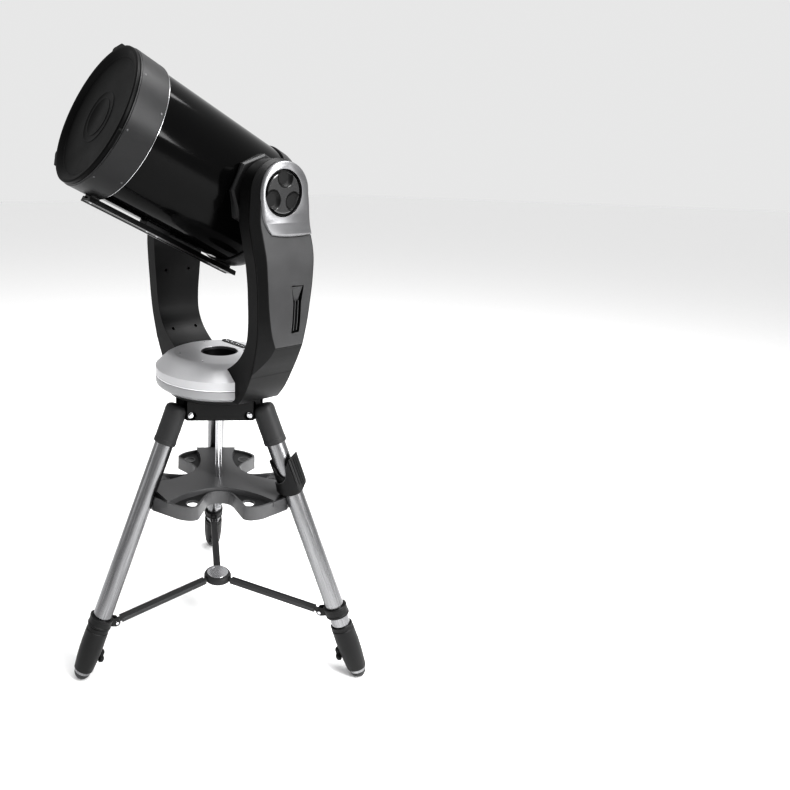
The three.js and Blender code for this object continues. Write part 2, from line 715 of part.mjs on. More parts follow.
function clutchKnob() {
  let body = rod(51.5, 0, 6, MEDIUM).add(turned([[0, 6], [47, 6], [47, 11], [44, 13], [0, 13]], MEDIUM));
  for (let i = 0; i < 3; i++) {
    const turn = radians(100 + 120 * i);
    const [x, y] = polar(31, turn);
    const scoop = rod(14, 5, 20, SMALL);
    body = body.subtract(moved(scoop, x, y, 0));
  }
  return moved(body.rotate([90, 0, 90]), CAP_X.inner + 0.5, 0, AXIS_Z);
}
piece(fork, "altitude_clutch_knob", clutchKnob(), glossBlack);

// ---- telescope tube ----
// In this group +Z runs along the optical axis to the front and -Y is the underside.
const optics = new THREE.Group();
optics.position.set(0, 0, AXIS_Z);
optics.rotation.x = Math.PI / 2 - TUBE_ALTITUDE;
scope.add(optics);

const tubeSkin = ring(OPTIC_R - 3, OPTIC_R, TUBE_ENDS.back + GAP, TUBE_ENDS.front, LARGE);
piece(optics, "optical_tube", tubeSkin, glossBlack);

function frontCell() {
  return turned([
    [OPTIC_R + GAP, CELL.back], [CELL.r, CELL.back], [CELL.r, CELL.front - 2], [CELL.r - 2, CELL.front],
    [CELL.r - 8, CELL.front], [CELL.r - 8, 356], [CELL.bore, 356], [CELL.bore, 352], [148, 352], [148, 340],
    [CELL.bore, 340], [CELL.bore, TUBE_ENDS.front + GAP], [OPTIC_R + GAP, TUBE_ENDS.front + GAP],
    [OPTIC_R + GAP, CELL.back],
  ], LARGE);
}
piece(optics, "front_cell", frontCell(), darkGrey);
piece(optics, "corrector_plate", ring(38, 147, 342, 350, MEDIUM), glass);

function secondary() {
  return turned([
    [0, 322], [44, 322], [46, 325], [46, 341.5], [37.5, 341.5], [37.5, 350.5], [46, 350.5], [46, 357],
    [42, 361], [0, 361],
  ], MEDIUM);
}
piece(optics, "secondary_mirror", secondary(), satinBlack);

// A dished lid: a rim that overlaps the front cell, a step down, and a raised centre.
function dustCap() {
  let lid = turned([
    [0, 364], [134, 364], [140, 372], [CELL.r - 2, CELL.front + 1],
    [CELL.r - 3, CELL.front + 9], [CELL.r - 9, CELL.front + 10],
    [142, CELL.front + 2], [134, 368], [64, 368], [58, 373], [0, 373],
  ], LARGE);
  for (const turn of [98, 218, 338]) {
    const tab = box(CELL.r - 8, CELL.r + 5, -20, 20, CELL.front + 1, CELL.front + 8);
    lid = lid.add(tab.rotate([0, 0, turn]));
  }
  return lid;
}
piece(optics, "dust_cap", dustCap(), mattBlack);

function rearCell() {
  const shell = turned([
    [29, REAR.back], [118, REAR.back], [150, REAR.bend - 8], [REAR.r, REAR.bend + 18], [REAR.r, REAR.front],
    [OPTIC_R + GAP, REAR.front], [OPTIC_R + GAP, TUBE_ENDS.back], [152, TUBE_ENDS.back],
    [152, REAR.bend + 16],
    [143, REAR.bend - 2], [115, REAR.back + 7], [29, REAR.back + 7], [29, REAR.back],
  ], LARGE);
  return shell.subtract(moved(rod(7, REAR.back - 2, REAR.back + 9, TINY), 62, -48, 0));
}
piece(optics, "rear_cell", rearCell(), darkGrey);

const baffleFlange = ring(24, 34, REAR.back + 8, REAR.back + 14, MEDIUM);
const baffle = ring(24, 26, REAR.back + 8, 120, MEDIUM).add(baffleFlange);
piece(optics, "baffle_tube", baffle, mattBlack);

function primaryMirror() {
  return turned([
    [28, -120], [60, -120], [66, -112], [142, -104], [142, -76], [90, -83], [34, -88], [34, -40],
    [28, -40], [28, -120],
  ], MEDIUM);
}
piece(optics, "primary_mirror", primaryMirror(), mirrorCoat);

function focusKnob() {
  const grip = knob(17, REAR.back - 30, REAR.back - 3, 8, 4);
  const shaft = rod(6, REAR.back - 4, REAR.back + 14, TINY);
  return moved(grip.add(shaft), 62, -48, 0);
}
piece(optics, "focus_knob", focusKnob(), rubber);

const visualBack = turned([
  [20, REAR.back - 34], [27, REAR.back - 34], [28, REAR.back - 32], [28, REAR.back - 14],
  [38, REAR.back - 10], [38, REAR.back - GAP], [20, REAR.back - GAP], [20, REAR.back - 34],
], MEDIUM);
piece(optics, "visual_back", visualBack, satinBlack);

// A dovetail bar under the tube on three feet.
function dovetailRail() {
  const outline = new THREE.Shape();
  outline.moveTo(-RAIL.half, RAIL.top);
  outline.lineTo(-RAIL.half - 4, RAIL.bottom);
  outline.lineTo(RAIL.half + 4, RAIL.bottom);
  outline.lineTo(RAIL.half, RAIL.top);
  outline.lineTo(8, RAIL.top);
  outline.lineTo(8, RAIL.top - 5);
  outline.lineTo(-8, RAIL.top - 5);
  outline.lineTo(-8, RAIL.top);
  outline.closePath();
  let body = plate(outline, RAIL.back, RAIL.front);
  const feet = [
    [299, 321, CELL.r],
    [100, 170, OPTIC_R],
    [-104, -74, REAR.r],
  ];
  for (const [back, front, seat] of feet) {
    const block = box(-18, 18, RAIL.top - 1, -seat + 10, back, front);
    body = body.add(block.subtract(rod(seat + GAP, back - 1, front + 1, LARGE)));
  }
  return body;
}
piece(optics, "dovetail_rail", dovetailRail(), satinBlack);

// Side brackets that carry the tube on its altitude shafts. Built for +X, in the tube's own frame.
function trunnion() {
  const octagon = (corner) => {
    const outline = new THREE.Shape();
    for (let i = 0; i < 8; i++) {
      const [y, z] = polar(corner, (Math.PI / 4) * (i + 0.5));
      if (i === 0) outline.moveTo(y, z);
      else outline.lineTo(y, z);
    }
    return outline;
  };
  let body = loftX([[octagon(87), 120], [octagon(87), 168], [octagon(82), 173]]);
  body = body.add(rodX(56, 171, ARM.inner - 3, MEDIUM));
  body = body.add(rodX(SHAFT_R, ARM.inner - 4, 222, MEDIUM));
  return body.subtract(rod(REAR.r + GAP, -200, 200, LARGE));
}

function wheelOnShaft() {
  const teeth = gear(SHAFT_R + GAP, 60, 63, 0, 11, 16).rotate([90, 0, 90]);
  return moved(teeth, 203, 0, 0);
}
piece(optics, "trunnion_right", trunnion(), darkGrey);
piece(optics, "trunnion_left", mirrored(trunnion()), darkGrey);
piece(optics, "altitude_wheel", wheelOnShaft(), brass);

// The origin is on the ground, under the middle of the whole telescope.
scope.updateMatrixWorld(true);
const bounds = new THREE.Box3().setFromObject(scope, true);
scope.position.set(-(bounds.min.x + bounds.max.x) / 2, -(bounds.min.y + bounds.max.y) / 2, -bounds.min.z);

export default scope;
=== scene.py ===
"""The finished look of a Schmidt-Cassegrain telescope on its fork mount and tripod.

Shapes are drawn in millimetres, each in the frame of its own assembly, and placed in metres.
"""

from math import asin, atan2, comb, cos, dist, hypot, pi, radians, sin, tau

import bmesh
import bpy
from mathutils import Matrix, Vector


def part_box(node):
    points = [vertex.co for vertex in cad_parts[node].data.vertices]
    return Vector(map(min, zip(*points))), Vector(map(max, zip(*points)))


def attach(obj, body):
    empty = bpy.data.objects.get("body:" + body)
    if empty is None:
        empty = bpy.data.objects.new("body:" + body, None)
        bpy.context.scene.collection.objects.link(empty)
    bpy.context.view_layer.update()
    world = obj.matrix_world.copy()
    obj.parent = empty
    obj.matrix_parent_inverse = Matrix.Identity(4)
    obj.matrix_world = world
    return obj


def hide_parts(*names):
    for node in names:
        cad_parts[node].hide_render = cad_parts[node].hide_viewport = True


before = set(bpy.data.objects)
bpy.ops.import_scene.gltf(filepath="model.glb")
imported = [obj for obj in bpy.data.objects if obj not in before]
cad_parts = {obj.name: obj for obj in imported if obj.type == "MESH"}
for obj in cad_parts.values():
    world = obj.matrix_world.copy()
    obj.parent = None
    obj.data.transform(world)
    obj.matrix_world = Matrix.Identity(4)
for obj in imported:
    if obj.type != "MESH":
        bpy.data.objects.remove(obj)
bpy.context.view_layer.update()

# ---- driving dimensions, in millimetres ----
MM = 0.001
ROUND = 96  # flats round a small circle
WIDE = 160  # flats round the tube and the base
CURVE_STEPS = 14  # straight steps in a Bezier curve
FIT = 0.3  # gap between a tube and what is round it
PROUD = 1  # how far a cutting shape stands past what it cuts
CREASE = 32  # degrees: edges sharper than this are rounded

LEGS = 3
FIRST_LEG = radians(-92)
LEG_STEP = tau / LEGS
LEG_TILT = radians(23.1)
LEG_TOP = (137, 705)  # distance from the axis, and height
TUBE_R = 25.4
TUBE_WALL = 1.8
INNER_R = 22.3
INNER_WALL = 2.3
COLLAR_AT = (598, 572, 572)  # down each leg from its top
BOOT_TOP = -612
BOOT_BOTTOM = -738
CLAMP_AT = -700
FOOT_AT = -743.5
COLLAR_PIN_X = -46
PIVOT = (-28.6, 6.8)  # a leg's bolt, in the leg's own X and Z
SPREADER_Z = 163
HUB_R = 34
ROD_R = 9
THREAD_PITCH = 2.5
TRAY_BOTTOM, TRAY_SHELF, TRAY_TOP = 444, 478, 488
TRAY_FLOOR = TRAY_SHELF - 5  # bottom of the pockets
TRAY_HOLE_R = 16
TRAY_HOLE_RING = 157
TRAY_HOLE_TURN = radians(28)
CLIP_LEG = 1
CLIP_R = 33

BASE_R = 172.8
BASE_TOP = 855
SEAM = 798
PORT_X = (-74, -50, -26, -2)
PORT_Y = 80
WELL_R = 49.7
ARM_INNER, ARM_SPLIT, ARM_OUTER = 188, 224, 245
ARM_TOP_R = 76
ARM_BOTTOM = 766
CAP_INNER, CAP_OUTER = 237, 250
CLUTCH_HOLE_R = 52.5
BOW = (  # height, and how far the arm bows outwards there
    (700, 0), (850, 0), (885, 11), (930, 23), (985, 29), (1070, 30), (1130, 26), (1176, 13), (1212, 0),
    (1400, 0),
)
BOW_EASE = 14  # height above and below over which the bow is averaged
TUBE_ALTITUDE = radians(26.4)
OPTIC_R = 158
CELL_R = 164.5
CELL_BACK, CELL_FRONT = 297, 371
REAR_R = 162.5
REAR_BACK = -142
FOCUS_AT = (62, -48)
RAIL_TOP, RAIL_BOTTOM, RAIL_BACK, RAIL_FRONT = -168, -180, -124, 324

# ---- frames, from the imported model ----
rod_low, rod_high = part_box("support_rod")
knob_low, knob_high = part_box("altitude_clutch_knob")
AXIS = (rod_low + rod_high) / 2
AXIS.z = 0
AXIS_Z = (knob_low.z + knob_high.z) / 2 / MM
STAND = Matrix.Translation(AXIS)
TIPPED = Matrix.Rotation(pi / 2 - TUBE_ALTITUDE, 4, "X")
OPTICS = STAND @ Matrix.Translation((0, 0, AXIS_Z * MM)) @ TIPPED


def leg_azimuth(index):
    return FIRST_LEG + index * LEG_STEP


def leg_frame(index):
    """Z runs up the leg and X points outwards."""
    top = Matrix.Translation((LEG_TOP[0] * MM, 0, LEG_TOP[1] * MM))
    return STAND @ Matrix.Rotation(leg_azimuth(index), 4, "Z") @ top @ Matrix.Rotation(-LEG_TILT, 4, "Y")


# ---- outlines ----
def polar(r, turn):
    return (r * cos(turn), r * sin(turn))


class Outline:
    """Points drawn one stretch at a time: lines, Bezier curves and arcs."""

    def __init__(self, *start):
        self.points = [start]

    def line(self, *ends):
        self.points += ends
        return self

    def curve(self, *controls):
        """A Bezier curve from the last point, steered by two or three more to end on their last."""
        points = [self.points[-1], *controls]
        degree = len(points) - 1
        for step in range(1, CURVE_STEPS + 1):
            t = step / CURVE_STEPS
            weights = [comb(degree, i) * t**i * (1 - t) ** (degree - i) for i in range(degree + 1)]
            self.points.append(tuple(sum(w * p[k] for w, p in zip(weights, points)) for k in (0, 1)))
        return self

    def arc(self, x, y, r, start, end):
        steps = max(4, round(abs(end - start) / tau * ROUND))
        for step in range(steps + 1):
            turn = start + (end - start) * step / steps
            self.points.append((x + r * cos(turn), y + r * sin(turn)))
        return self

    def closed(self):
        """The points as a closed outline, without doubled ones."""
        kept = []
        for point in self.points:
            if not kept or dist(point, kept[-1]) > 1e-3:
                kept.append(point)
        if dist(kept[0], kept[-1]) < 1e-3:
            kept.pop()
        return kept


# ---- shapes: a list of points and a list of faces ----
def turned(profile, sides=ROUND):
    """A (radius, z) profile turned about Z. It closes on itself, or starts and ends on the axis."""
    points, faces, rows = [], [], []
    for r, z in profile:
        if r < 1e-6:
            rows.append([len(points)] * sides)
            points.append((0, 0, z))
        else:
            rows.append(list(range(len(points), len(points) + sides)))
            points += [(*polar(r, tau * i / sides), z) for i in range(sides)]
    ends = rows[1:] if profile[0][0] < 1e-6 else rows[1:] + rows[:1]
    for row, after in zip(rows, ends):
        for i in range(sides):
            j = (i + 1) % sides
            corners = [row[i], row[j], after[j], after[i]]
            face = [c for k, c in enumerate(corners) if c != corners[k - 1]]
            if len(face) > 2:
                faces.append(face)
    return points, faces


def tube(inner, outer, z0, z1, sides=ROUND):
    return turned([(inner, z0), (outer, z0), (outer, z1), (inner, z1)], sides)


def rod(r, z0, z1, sides=ROUND):
    return turned([(0, z0), (r, z0), (r, z1), (0, z1)], sides)


def loft(sections):
    """A solid through outlines with the same number of points, each given as (points, z)."""
    count = len(sections[0][0])
    points = [(*point, z) for outline, z in sections for point in outline]
    faces = []
    for layer in range(len(sections) - 1):
        for i in range(count):
            a = layer * count + i
            b = layer * count + (i + 1) % count
            faces.append([a, b, b + count, a + count])
    faces.append(list(range(count))[::-1])
    faces.append([(len(sections) - 1) * count + i for i in range(count)])
    return points, faces


def plate(outline, z0, z1):
    return loft([(outline, z0), (outline, z1)])


def block(x0, x1, y0, y1, z0, z1):
    return plate([(x0, y0), (x1, y0), (x1, y1), (x0, y1)], z0, z1)


def together(*shapes):
    points, faces = [], []
    for more_points, more_faces in shapes:
        start = len(points)
        points += more_points
        faces += [[i + start for i in face] for face in more_faces]
    return points, faces


def changed(shape, matrix):
    points, faces = shape
    return [tuple(matrix @ Vector(p)) for p in points], faces


def moved(shape, x=0, y=0, z=0):
    return changed(shape, Matrix.Translation((x, y, z)))


def spun(shape, turn, axis="Z"):
    return changed(shape, Matrix.Rotation(turn, 4, axis))


def mirrored(shape):
    return [(-x, y, z) for x, y, z in shape[0]], shape[1]


# A shape's Z is laid along X or Y, and its outline's X and Y become the other two axes in order.
ALONG_X = Matrix(((0, 0, 1, 0), (1, 0, 0, 0), (0, 1, 0, 0), (0, 0, 0, 1)))
ALONG_Y = Matrix(((1, 0, 0, 0), (0, 0, 1, 0), (0, 1, 0, 0), (0, 0, 0, 1)))


def along_x(shape):
    return changed(shape, ALONG_X)


def along_y(shape):
    return changed(shape, ALONG_Y)


# ---- pieces ----
def linked(name, data):
    """A new object in the scene."""
    made = bpy.data.objects.new(name, data)
    bpy.context.scene.collection.objects.link(made)
    return made


def new_object(name, shape, place):
    mesh = bpy.data.meshes.new(name)
    mesh.from_pydata([place @ (Vector(p) * MM) for p in shape[0]], [], shape[1])
    shaped = bmesh.new()
    shaped.from_mesh(mesh)
    bmesh.ops.recalc_face_normals(shaped, faces=shaped.faces)
    shaped.to_mesh(mesh)
    shaped.free()
    return linked(name, mesh)


def baked(made):
    """Applies an object's modifiers."""
    bpy.context.view_layer.update()
    seen = made.evaluated_get(bpy.context.evaluated_depsgraph_get())
    mesh = bpy.data.meshes.new_from_object(seen)
    made.modifiers.clear()
    made.data = mesh


def carve(made, shape, place, how="DIFFERENCE"):
    """Cuts a closed shape out of an object, joins it on or keeps what both hold."""
    tool = new_object("tool", shape, place)
    step = made.modifiers.new("carve", "BOOLEAN")
    step.operation = how
    step.solver = "EXACT"
    step.object = tool
    baked(made)
    bpy.data.objects.remove(tool)


def bevelled(made, width):
    """Rounds an object's sharp edges."""
    bevel = made.modifiers.new("edges", "BEVEL")
    bevel.width = width * MM
    bevel.segments = 2
    bevel.limit_method = "ANGLE"
    return bevel


def soften(made, width, angle=CREASE):
    """Rounds the edges sharper than an angle and shades the rest smooth."""
    shaped = bmesh.new()
    shaped.from_mesh(made.data)
    bmesh.ops.remove_doubles(shaped, verts=shaped.verts, dist=1e-6)
    for face in shaped.faces:
        face.smooth = True
    for edge in shaped.edges:
        if len(edge.link_faces) == 2 and edge.calc_face_angle(0) > radians(angle):
            edge.smooth = False
    shaped.to_mesh(made.data)
    shaped.free()
    if width:
        bevel = bevelled(made, width)
        bevel.angle_limit = radians(angle)
        bevel.harden_normals = True


def finish(made, body, paint, stands_for=()):
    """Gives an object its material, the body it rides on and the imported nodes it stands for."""
    material, slot_name = paint
    made.data.materials.append(material)
    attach(made, body)
    if stands_for:
        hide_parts(*stands_for)


def piece(name, shape, place, body, paint, stands_for=(), edge=0.6, cuts=(), joins=(), angle=CREASE):
    """A finished piece from a shape, with others joined on and then others cut out."""
    made = new_object(name, shape, place)
    for extra in joins:
        carve(made, extra, place, "UNION")
    for cut in cuts:
        carve(made, cut, place)
    soften(made, edge, angle)
    finish(made, body, paint, stands_for)


# ---- finishes ----
STREAK = 80  # how many times longer than wide a brushed streak is
GREY = (1.0, 1.0, 1.02)


def surface(
    name, color, roughness, metallic=0.0, coat=0.0,
    grain=900, bump=0.15, vary=0.06, shade=0.1, gloss=0.3, along=None,
):
    """A material with a fine grain in its surface, and slow changes in its shine and its shade.

    Roughness changes by vary either way and colour by the share given as shade. The grain and
    the slow changes are drawn out along the Z axis of the frame given as along, if there is one.
    """
    material = bpy.data.materials.new(name)
    material.use_nodes = True
    nodes = material.node_tree.nodes
    links = material.node_tree.links
    shader = nodes["Principled BSDF"]
    shader.inputs["Metallic"].default_value = metallic
    shader.inputs["Specular IOR Level"].default_value = gloss
    shader.inputs["Coat Weight"].default_value = coat
    shader.inputs["Coat Roughness"].default_value = 0.06

    def node(kind, **values):
        made = nodes.new("ShaderNode" + kind)
        for key, value in values.items():
            made.inputs[key.replace("_", " ")].default_value = value
        return made

    where = node("TexCoord")
    scaled = node("Mapping")
    if along:
        scaled.vector_type = "TEXTURE"
        scaled.inputs["Location"].default_value = along.translation
        scaled.inputs["Rotation"].default_value = along.to_euler()
        scaled.inputs["Scale"].default_value = (1, 1, STREAK)
    links.new(where.outputs["Object"], scaled.inputs["Vector"])
    fine = node("TexNoise", Scale=grain, Detail=3)
    links.new(scaled.outputs["Vector"], fine.inputs["Vector"])
    slow = node("TexNoise", Scale=18, Detail=4)
    drawn = scaled.outputs["Vector"] if along else where.outputs["Object"]
    links.new(drawn, slow.inputs["Vector"])

    # the mean of the fine and the slow noise
    both = node("Math")
    both.operation = "MULTIPLY_ADD"
    both.inputs[1].default_value = 0.5
    links.new(fine.outputs["Fac"], both.inputs[0])
    half = node("Math")
    half.operation = "MULTIPLY"
    half.inputs[1].default_value = 0.5
    links.new(slow.outputs["Fac"], half.inputs[0])
    links.new(half.outputs[0], both.inputs[2])

    dullest, shiniest = roughness + vary, max(0.02, roughness - vary)
    shine = node("MapRange", From_Min=0.3, From_Max=0.7, To_Min=shiniest, To_Max=dullest)
    links.new(both.outputs[0], shine.inputs["Value"])
    links.new(shine.outputs["Result"], shader.inputs["Roughness"])

    tone = node("ValToRGB")
    for stop, position, factor in zip(tone.color_ramp.elements, (0.3, 0.7), (1 - shade, 1 + shade)):
        stop.position = position
        stop.color = (*[min(1.0, c * factor) for c in color], 1)
    links.new(both.outputs[0], tone.inputs["Fac"])
    links.new(tone.outputs["Color"], shader.inputs["Base Color"])

    relief = node("Bump", Strength=bump, Distance=0.0004)
    links.new(fine.outputs["Fac"], relief.inputs["Height"])
    links.new(relief.outputs["Normal"], shader.inputs["Normal"])
    return material


def look(name, slot_name, value, roughness, *rest, **more):
    """A grey material and the name of the slot it goes in."""
    color = tuple(value * c for c in GREY)
    return surface(name, color, roughness, *rest, **more), slot_name


TUBE_PAINT = look(
    "tube_paint", "tube_paint", 0.003, 0.1, coat=0.03, grain=260, bump=0.02, vary=0.02, gloss=0.13,
)
CELL_PAINT = look("cell_paint", "grey_casting", 0.025, 0.4, 0.35, grain=1600, bump=0.16)
CAP_BLACK = look("cap_plastic", "matt_black", 0.004, 0.4, grain=1300, bump=0.1, gloss=0.1)
ARM_BLACK = look("arm_casting", "black_casting", 0.007, 0.36, grain=1500, bump=0.12, gloss=0.2)
SHELL_BLACK = look(
    "shell_plastic", "dark_grey_plastic", 0.011, 0.38, grain=1500, bump=0.16, shade=0.12, gloss=0.16,
)
PANEL_GREY = look("panel_plastic", "dark_grey_plastic", 0.046, 0.4, grain=1500, bump=0.2, shade=0.12)
SILVER = look("silver_paint", "silver_plastic", 0.21, 0.38, 0.9, grain=2600, bump=0.1, shade=0.06)
BASE_SILVER = look("base_paint", "silver_plastic", 0.5, 0.34, 0.3, grain=2600, bump=0.1, shade=0.04)
SEAM_WHITE = look("seam_paint", "silver_plastic", 0.85, 0.3, grain=2600, bump=0.04, shade=0.04)
STRIP_GREY = look("strip_paint", "silver_plastic", 0.3, 0.38, 0.3, grain=2600, bump=0.1, shade=0.06)
KNOB_BLACK = look(
    "knob_plastic", "gloss_black", 0.02, 0.2, coat=0.5, grain=300, bump=0.03, vary=0.04, gloss=0.8,
)
BLACK = look("black_plastic", "black_plastic", 0.009, 0.46, grain=1300, bump=0.25, gloss=0.35)
WELL_BLACK = look("well_plastic", "matt_black", 0.006, 0.45, grain=1300, bump=0.2)
SLEEVE_GREY = look("sleeve_plastic", "dark_grey_plastic", 0.036, 0.5, grain=1100, bump=0.3, shade=0.16)
TRAY_GREY = look(
    "tray_plastic", "mid_grey_plastic", 0.075, 0.36, grain=1000, bump=0.3, shade=0.14, gloss=0.6,
)
# painted shade: the pocket floor is darker than the tray, standing in for the shade in the recesses
POCKET_SHADE = look("pocket_painted_shade", "mid_grey_plastic", 0.03, 0.5, grain=1000, bump=0.3, shade=0.14)
BRIGHT = look("bright_steel", "steel", 0.6, 0.2, 1.0, grain=700, bump=0.06, shade=0.08)
DARK_SCREW = look("screw_steel", "steel", 0.14, 0.3, 1.0, grain=700, bump=0.06, shade=0.08)
HEAD_BLACK = look("head_casting", "black_casting", 0.008, 0.5, grain=900, bump=0.4)
BAR_GREY = look("bar_paint", "satin_black", 0.045, 0.36, 0.3, grain=1200, bump=0.2, gloss=0.5)
BRASS = (surface("gear_brass", (0.62, 0.42, 0.14), 0.3, 1.0, grain=700, bump=0.1), "brass")
RUBBER = look("knob_rubber", "rubber", 0.008, 0.75, grain=1600, bump=0.4)
MIRROR = look("mirror_coat", "mirror_coat", 0.9, 0.03, 1.0, grain=60, bump=0.0, vary=0.01, shade=0.01)
BACK_BLACK = look("adapter_black", "satin_black", 0.008, 0.32, 0.3, grain=1500, bump=0.1)
RAIL_BLACK = (BACK_BLACK[0], "black_casting")


def leg_steel(number, place):
    return look(
        f"brushed_tube_{number}", "steel", 0.25, 0.26, 1.0, bump=0.35, vary=0.08, shade=0.45, along=place,
    )


def glass_look():
    tint = (0.93, 0.97, 0.98)
    material = surface("corrector_glass", tint, 0.04, grain=40, bump=0.0, vary=0.015, shade=0.01)
    shader = material.node_tree.nodes["Principled BSDF"]
    shader.inputs["Transmission Weight"].default_value = 1.0
    shader.inputs["IOR"].default_value = 1.1
    return material, "clear_glass"


# ---- small parts ----
def socket_screw(r, height):
    """A round screw head with a socket, its seat at z = 0."""
    profile = [
        (0, -1), (r, -1), (r, height - 0.6), (r - 0.6, height), (r * 0.45, height), (r * 0.4, 0.4), (0, 0.4),
    ]
    return turned(profile, 24)


def lobed(r, z0, z1, lobes, depth, sides=ROUND):
    """A knob about Z: its rim dips by depth between the lobes and is chamfered above and below."""
    def ring(inset):
        points = []
        for i in range(sides):
            turn = tau * i / sides
            dip = (0.5 - 0.5 * cos(lobes * turn)) ** 2
            points.append(polar(r - inset - depth * dip, turn))
        return points

    lip = 2.5
    return loft([(ring(lip), z0), (ring(0), z0 + lip), (ring(0), z1 - lip), (ring(lip), z1)])


# ---- tripod ----
def floor_slab():
    """The ground under a foot, in the leg's own frame."""
    slab = block(-60, 60, -60, 60, -60, 0)
    drop = LEG_TOP[1] / cos(LEG_TILT)
    return moved(spun(slab, LEG_TILT, "Y"), z=-drop)


def sleeve(number, place):
    x, z = PIVOT
    lug = block(x - 13.5, 0, -15.2, 15.2, z - 15.5, z + 9.5)
    bore = rod(TUBE_R + FIT, -90, -16)
    body = turned([
        (0, -88), (28.8, -88), (30.5, -86.5), (30.5, -76), (29.7, -75), (29.7, -2), (30.3, 4),
        (28.8, 13), (25, 18), (18, 21), (0, 22),
    ])
    piece(
        f"sleeve_{number}", body, place, "tripod", SLEEVE_GREY, [f"leg_yoke_{number}"], 1.0,
        cuts=[bore], joins=[lug],
    )


def leg_bolt(number, place):
    x, z = PIVOT
    washer = turned([(0, 31.3), (8.4, 31.3), (8.4, 32.8), (0, 32.8)], 36)
    dome = turned([(0, 32.8), (6.8, 32.8), (6.8, 35.4), (5.4, 37), (3.2, 37), (2.8, 35), (0, 35)], 36)
    end = together(washer, dome)
    bolt = along_y(together(rod(4.9, -36, 36, 24), spun(end, pi, "X"), end))
    bolt = moved(bolt, x, 0, z)
    piece(f"leg_bolt_{number}", bolt, place, "tripod", BRIGHT, [f"leg_pivot_bolt_{number}"], 0.3)


def collar(number, place, at):
    """The ring that holds a spreader bar, with its two ears and their pin."""
    half = [(TUBE_R + FIT, 13), (31, 13), (32, 12), (32, 8), (31, 7)]
    ring = turned([(r, -at - z) for r, z in half] + [(r, z - at) for r, z in half[::-1]])
    ear = Outline(-28, -10).line((-47, -10)).arc(COLLAR_PIN_X, 0, 9.5, 1.5 * pi, 0.5 * pi)
    ear.line((-28, 10))
    ears = [moved(along_y(plate(ear.closed(), y - 2.4, y + 2.4)), z=-at) for y in (-9.5, 9.5)]
    piece(
        f"collar_{number}", ring, place, "tripod", BLACK, [f"spreader_collar_{number}"], 0.6,
        joins=ears, cuts=[rod(TUBE_R + FIT, -at - 20, -at + 20)],
    )
    pin = turned([
        (0, -14), (4.5, -14), (4.5, -12.2), (2.8, -12.2), (2.8, 12.2), (4.5, 12.2), (4.5, 14), (0, 14),
    ], 24)
    pin = moved(along_y(pin), COLLAR_PIN_X, 0, -at)
    piece(f"collar_pin_{number}", pin, place, "tripod", BRIGHT, (), 0.3)


def boot(number, place):
    """The boot at the end of an upper leg tube, with the clamp knob on its inner side."""
    top, bottom = BOOT_TOP, BOOT_BOTTOM
    bore_r = INNER_R + 0.4
    profile = [
        (TUBE_R + FIT, top), (28.4, top), (29.8, top - 1.5), (29.8, top - 9), (28.9, top - 10),
        (28.9, top - 12), (30.4, top - 13.5), (31, top - 50), (30.4, top - 72), (28.8, top - 96),
        (26.2, bottom + 4), (25.4, bottom), (bore_r, bottom), (bore_r, top - 30), (TUBE_R + FIT, top - 30),
    ]
    inwards = Matrix.Translation((0, 0, CLAMP_AT)) @ Matrix.Rotation(-pi / 2, 4, "Y")
    boss = changed(rod(10, 24, 31, 48), inwards)
    bore = rod(bore_r, bottom - PROUD, top - 30)
    piece(
        f"boot_{number}", turned(profile), place, "tripod", BLACK, [f"leg_clamp_boot_{number}"], 0.7,
        joins=[boss], cuts=[bore],
    )
    grip = lobed(18, 31.4, 43, 3, 8)
    stem = rod(4, INNER_R + 1, 33, 24)
    clamp = changed(together(grip, stem, moved(socket_screw(6, 1.2), z=43)), inwards)
    body = f"leg_clamp_{number}"
    piece(f"clamp_knob_{number}", clamp, place, body, BLACK, [f"leg_clamp_knob_{number}"], 0.5)


def lower_leg(number, place, steel):
    """The sliding tube with a groove above its foot, and the domed tip under it, cut flat by the floor."""
    body = f"lower_leg_{number}"
    end = FOOT_AT - 3
    bore, groove = INNER_R - INNER_WALL, INNER_R - 0.7
    profile = [
        (0, end), (INNER_R, end), (INNER_R, FOOT_AT + 10), (groove, FOOT_AT + 11), (groove, FOOT_AT + 13),
        (INNER_R, FOOT_AT + 14), (INNER_R, -200), (bore, -200), (bore, FOOT_AT), (0, FOOT_AT),
    ]
    piece(f"lower_leg_{number}", turned(profile), place, body, steel, [f"inner_leg_{number}"], 0.3)
    dome = [(0, end), (INNER_R - 0.3, end)]
    first, steps = asin(3.4 / INNER_R), 12
    for step in range(steps):
        turn = first + (pi / 2 - first) * step / steps
        dome.append((INNER_R * cos(turn), FOOT_AT - INNER_R * sin(turn)))
    dome.append((0, FOOT_AT - INNER_R))
    piece(f"foot_tip_{number}", turned(dome), place, body, SLEEVE_GREY, (), 0.3, cuts=[floor_slab()])


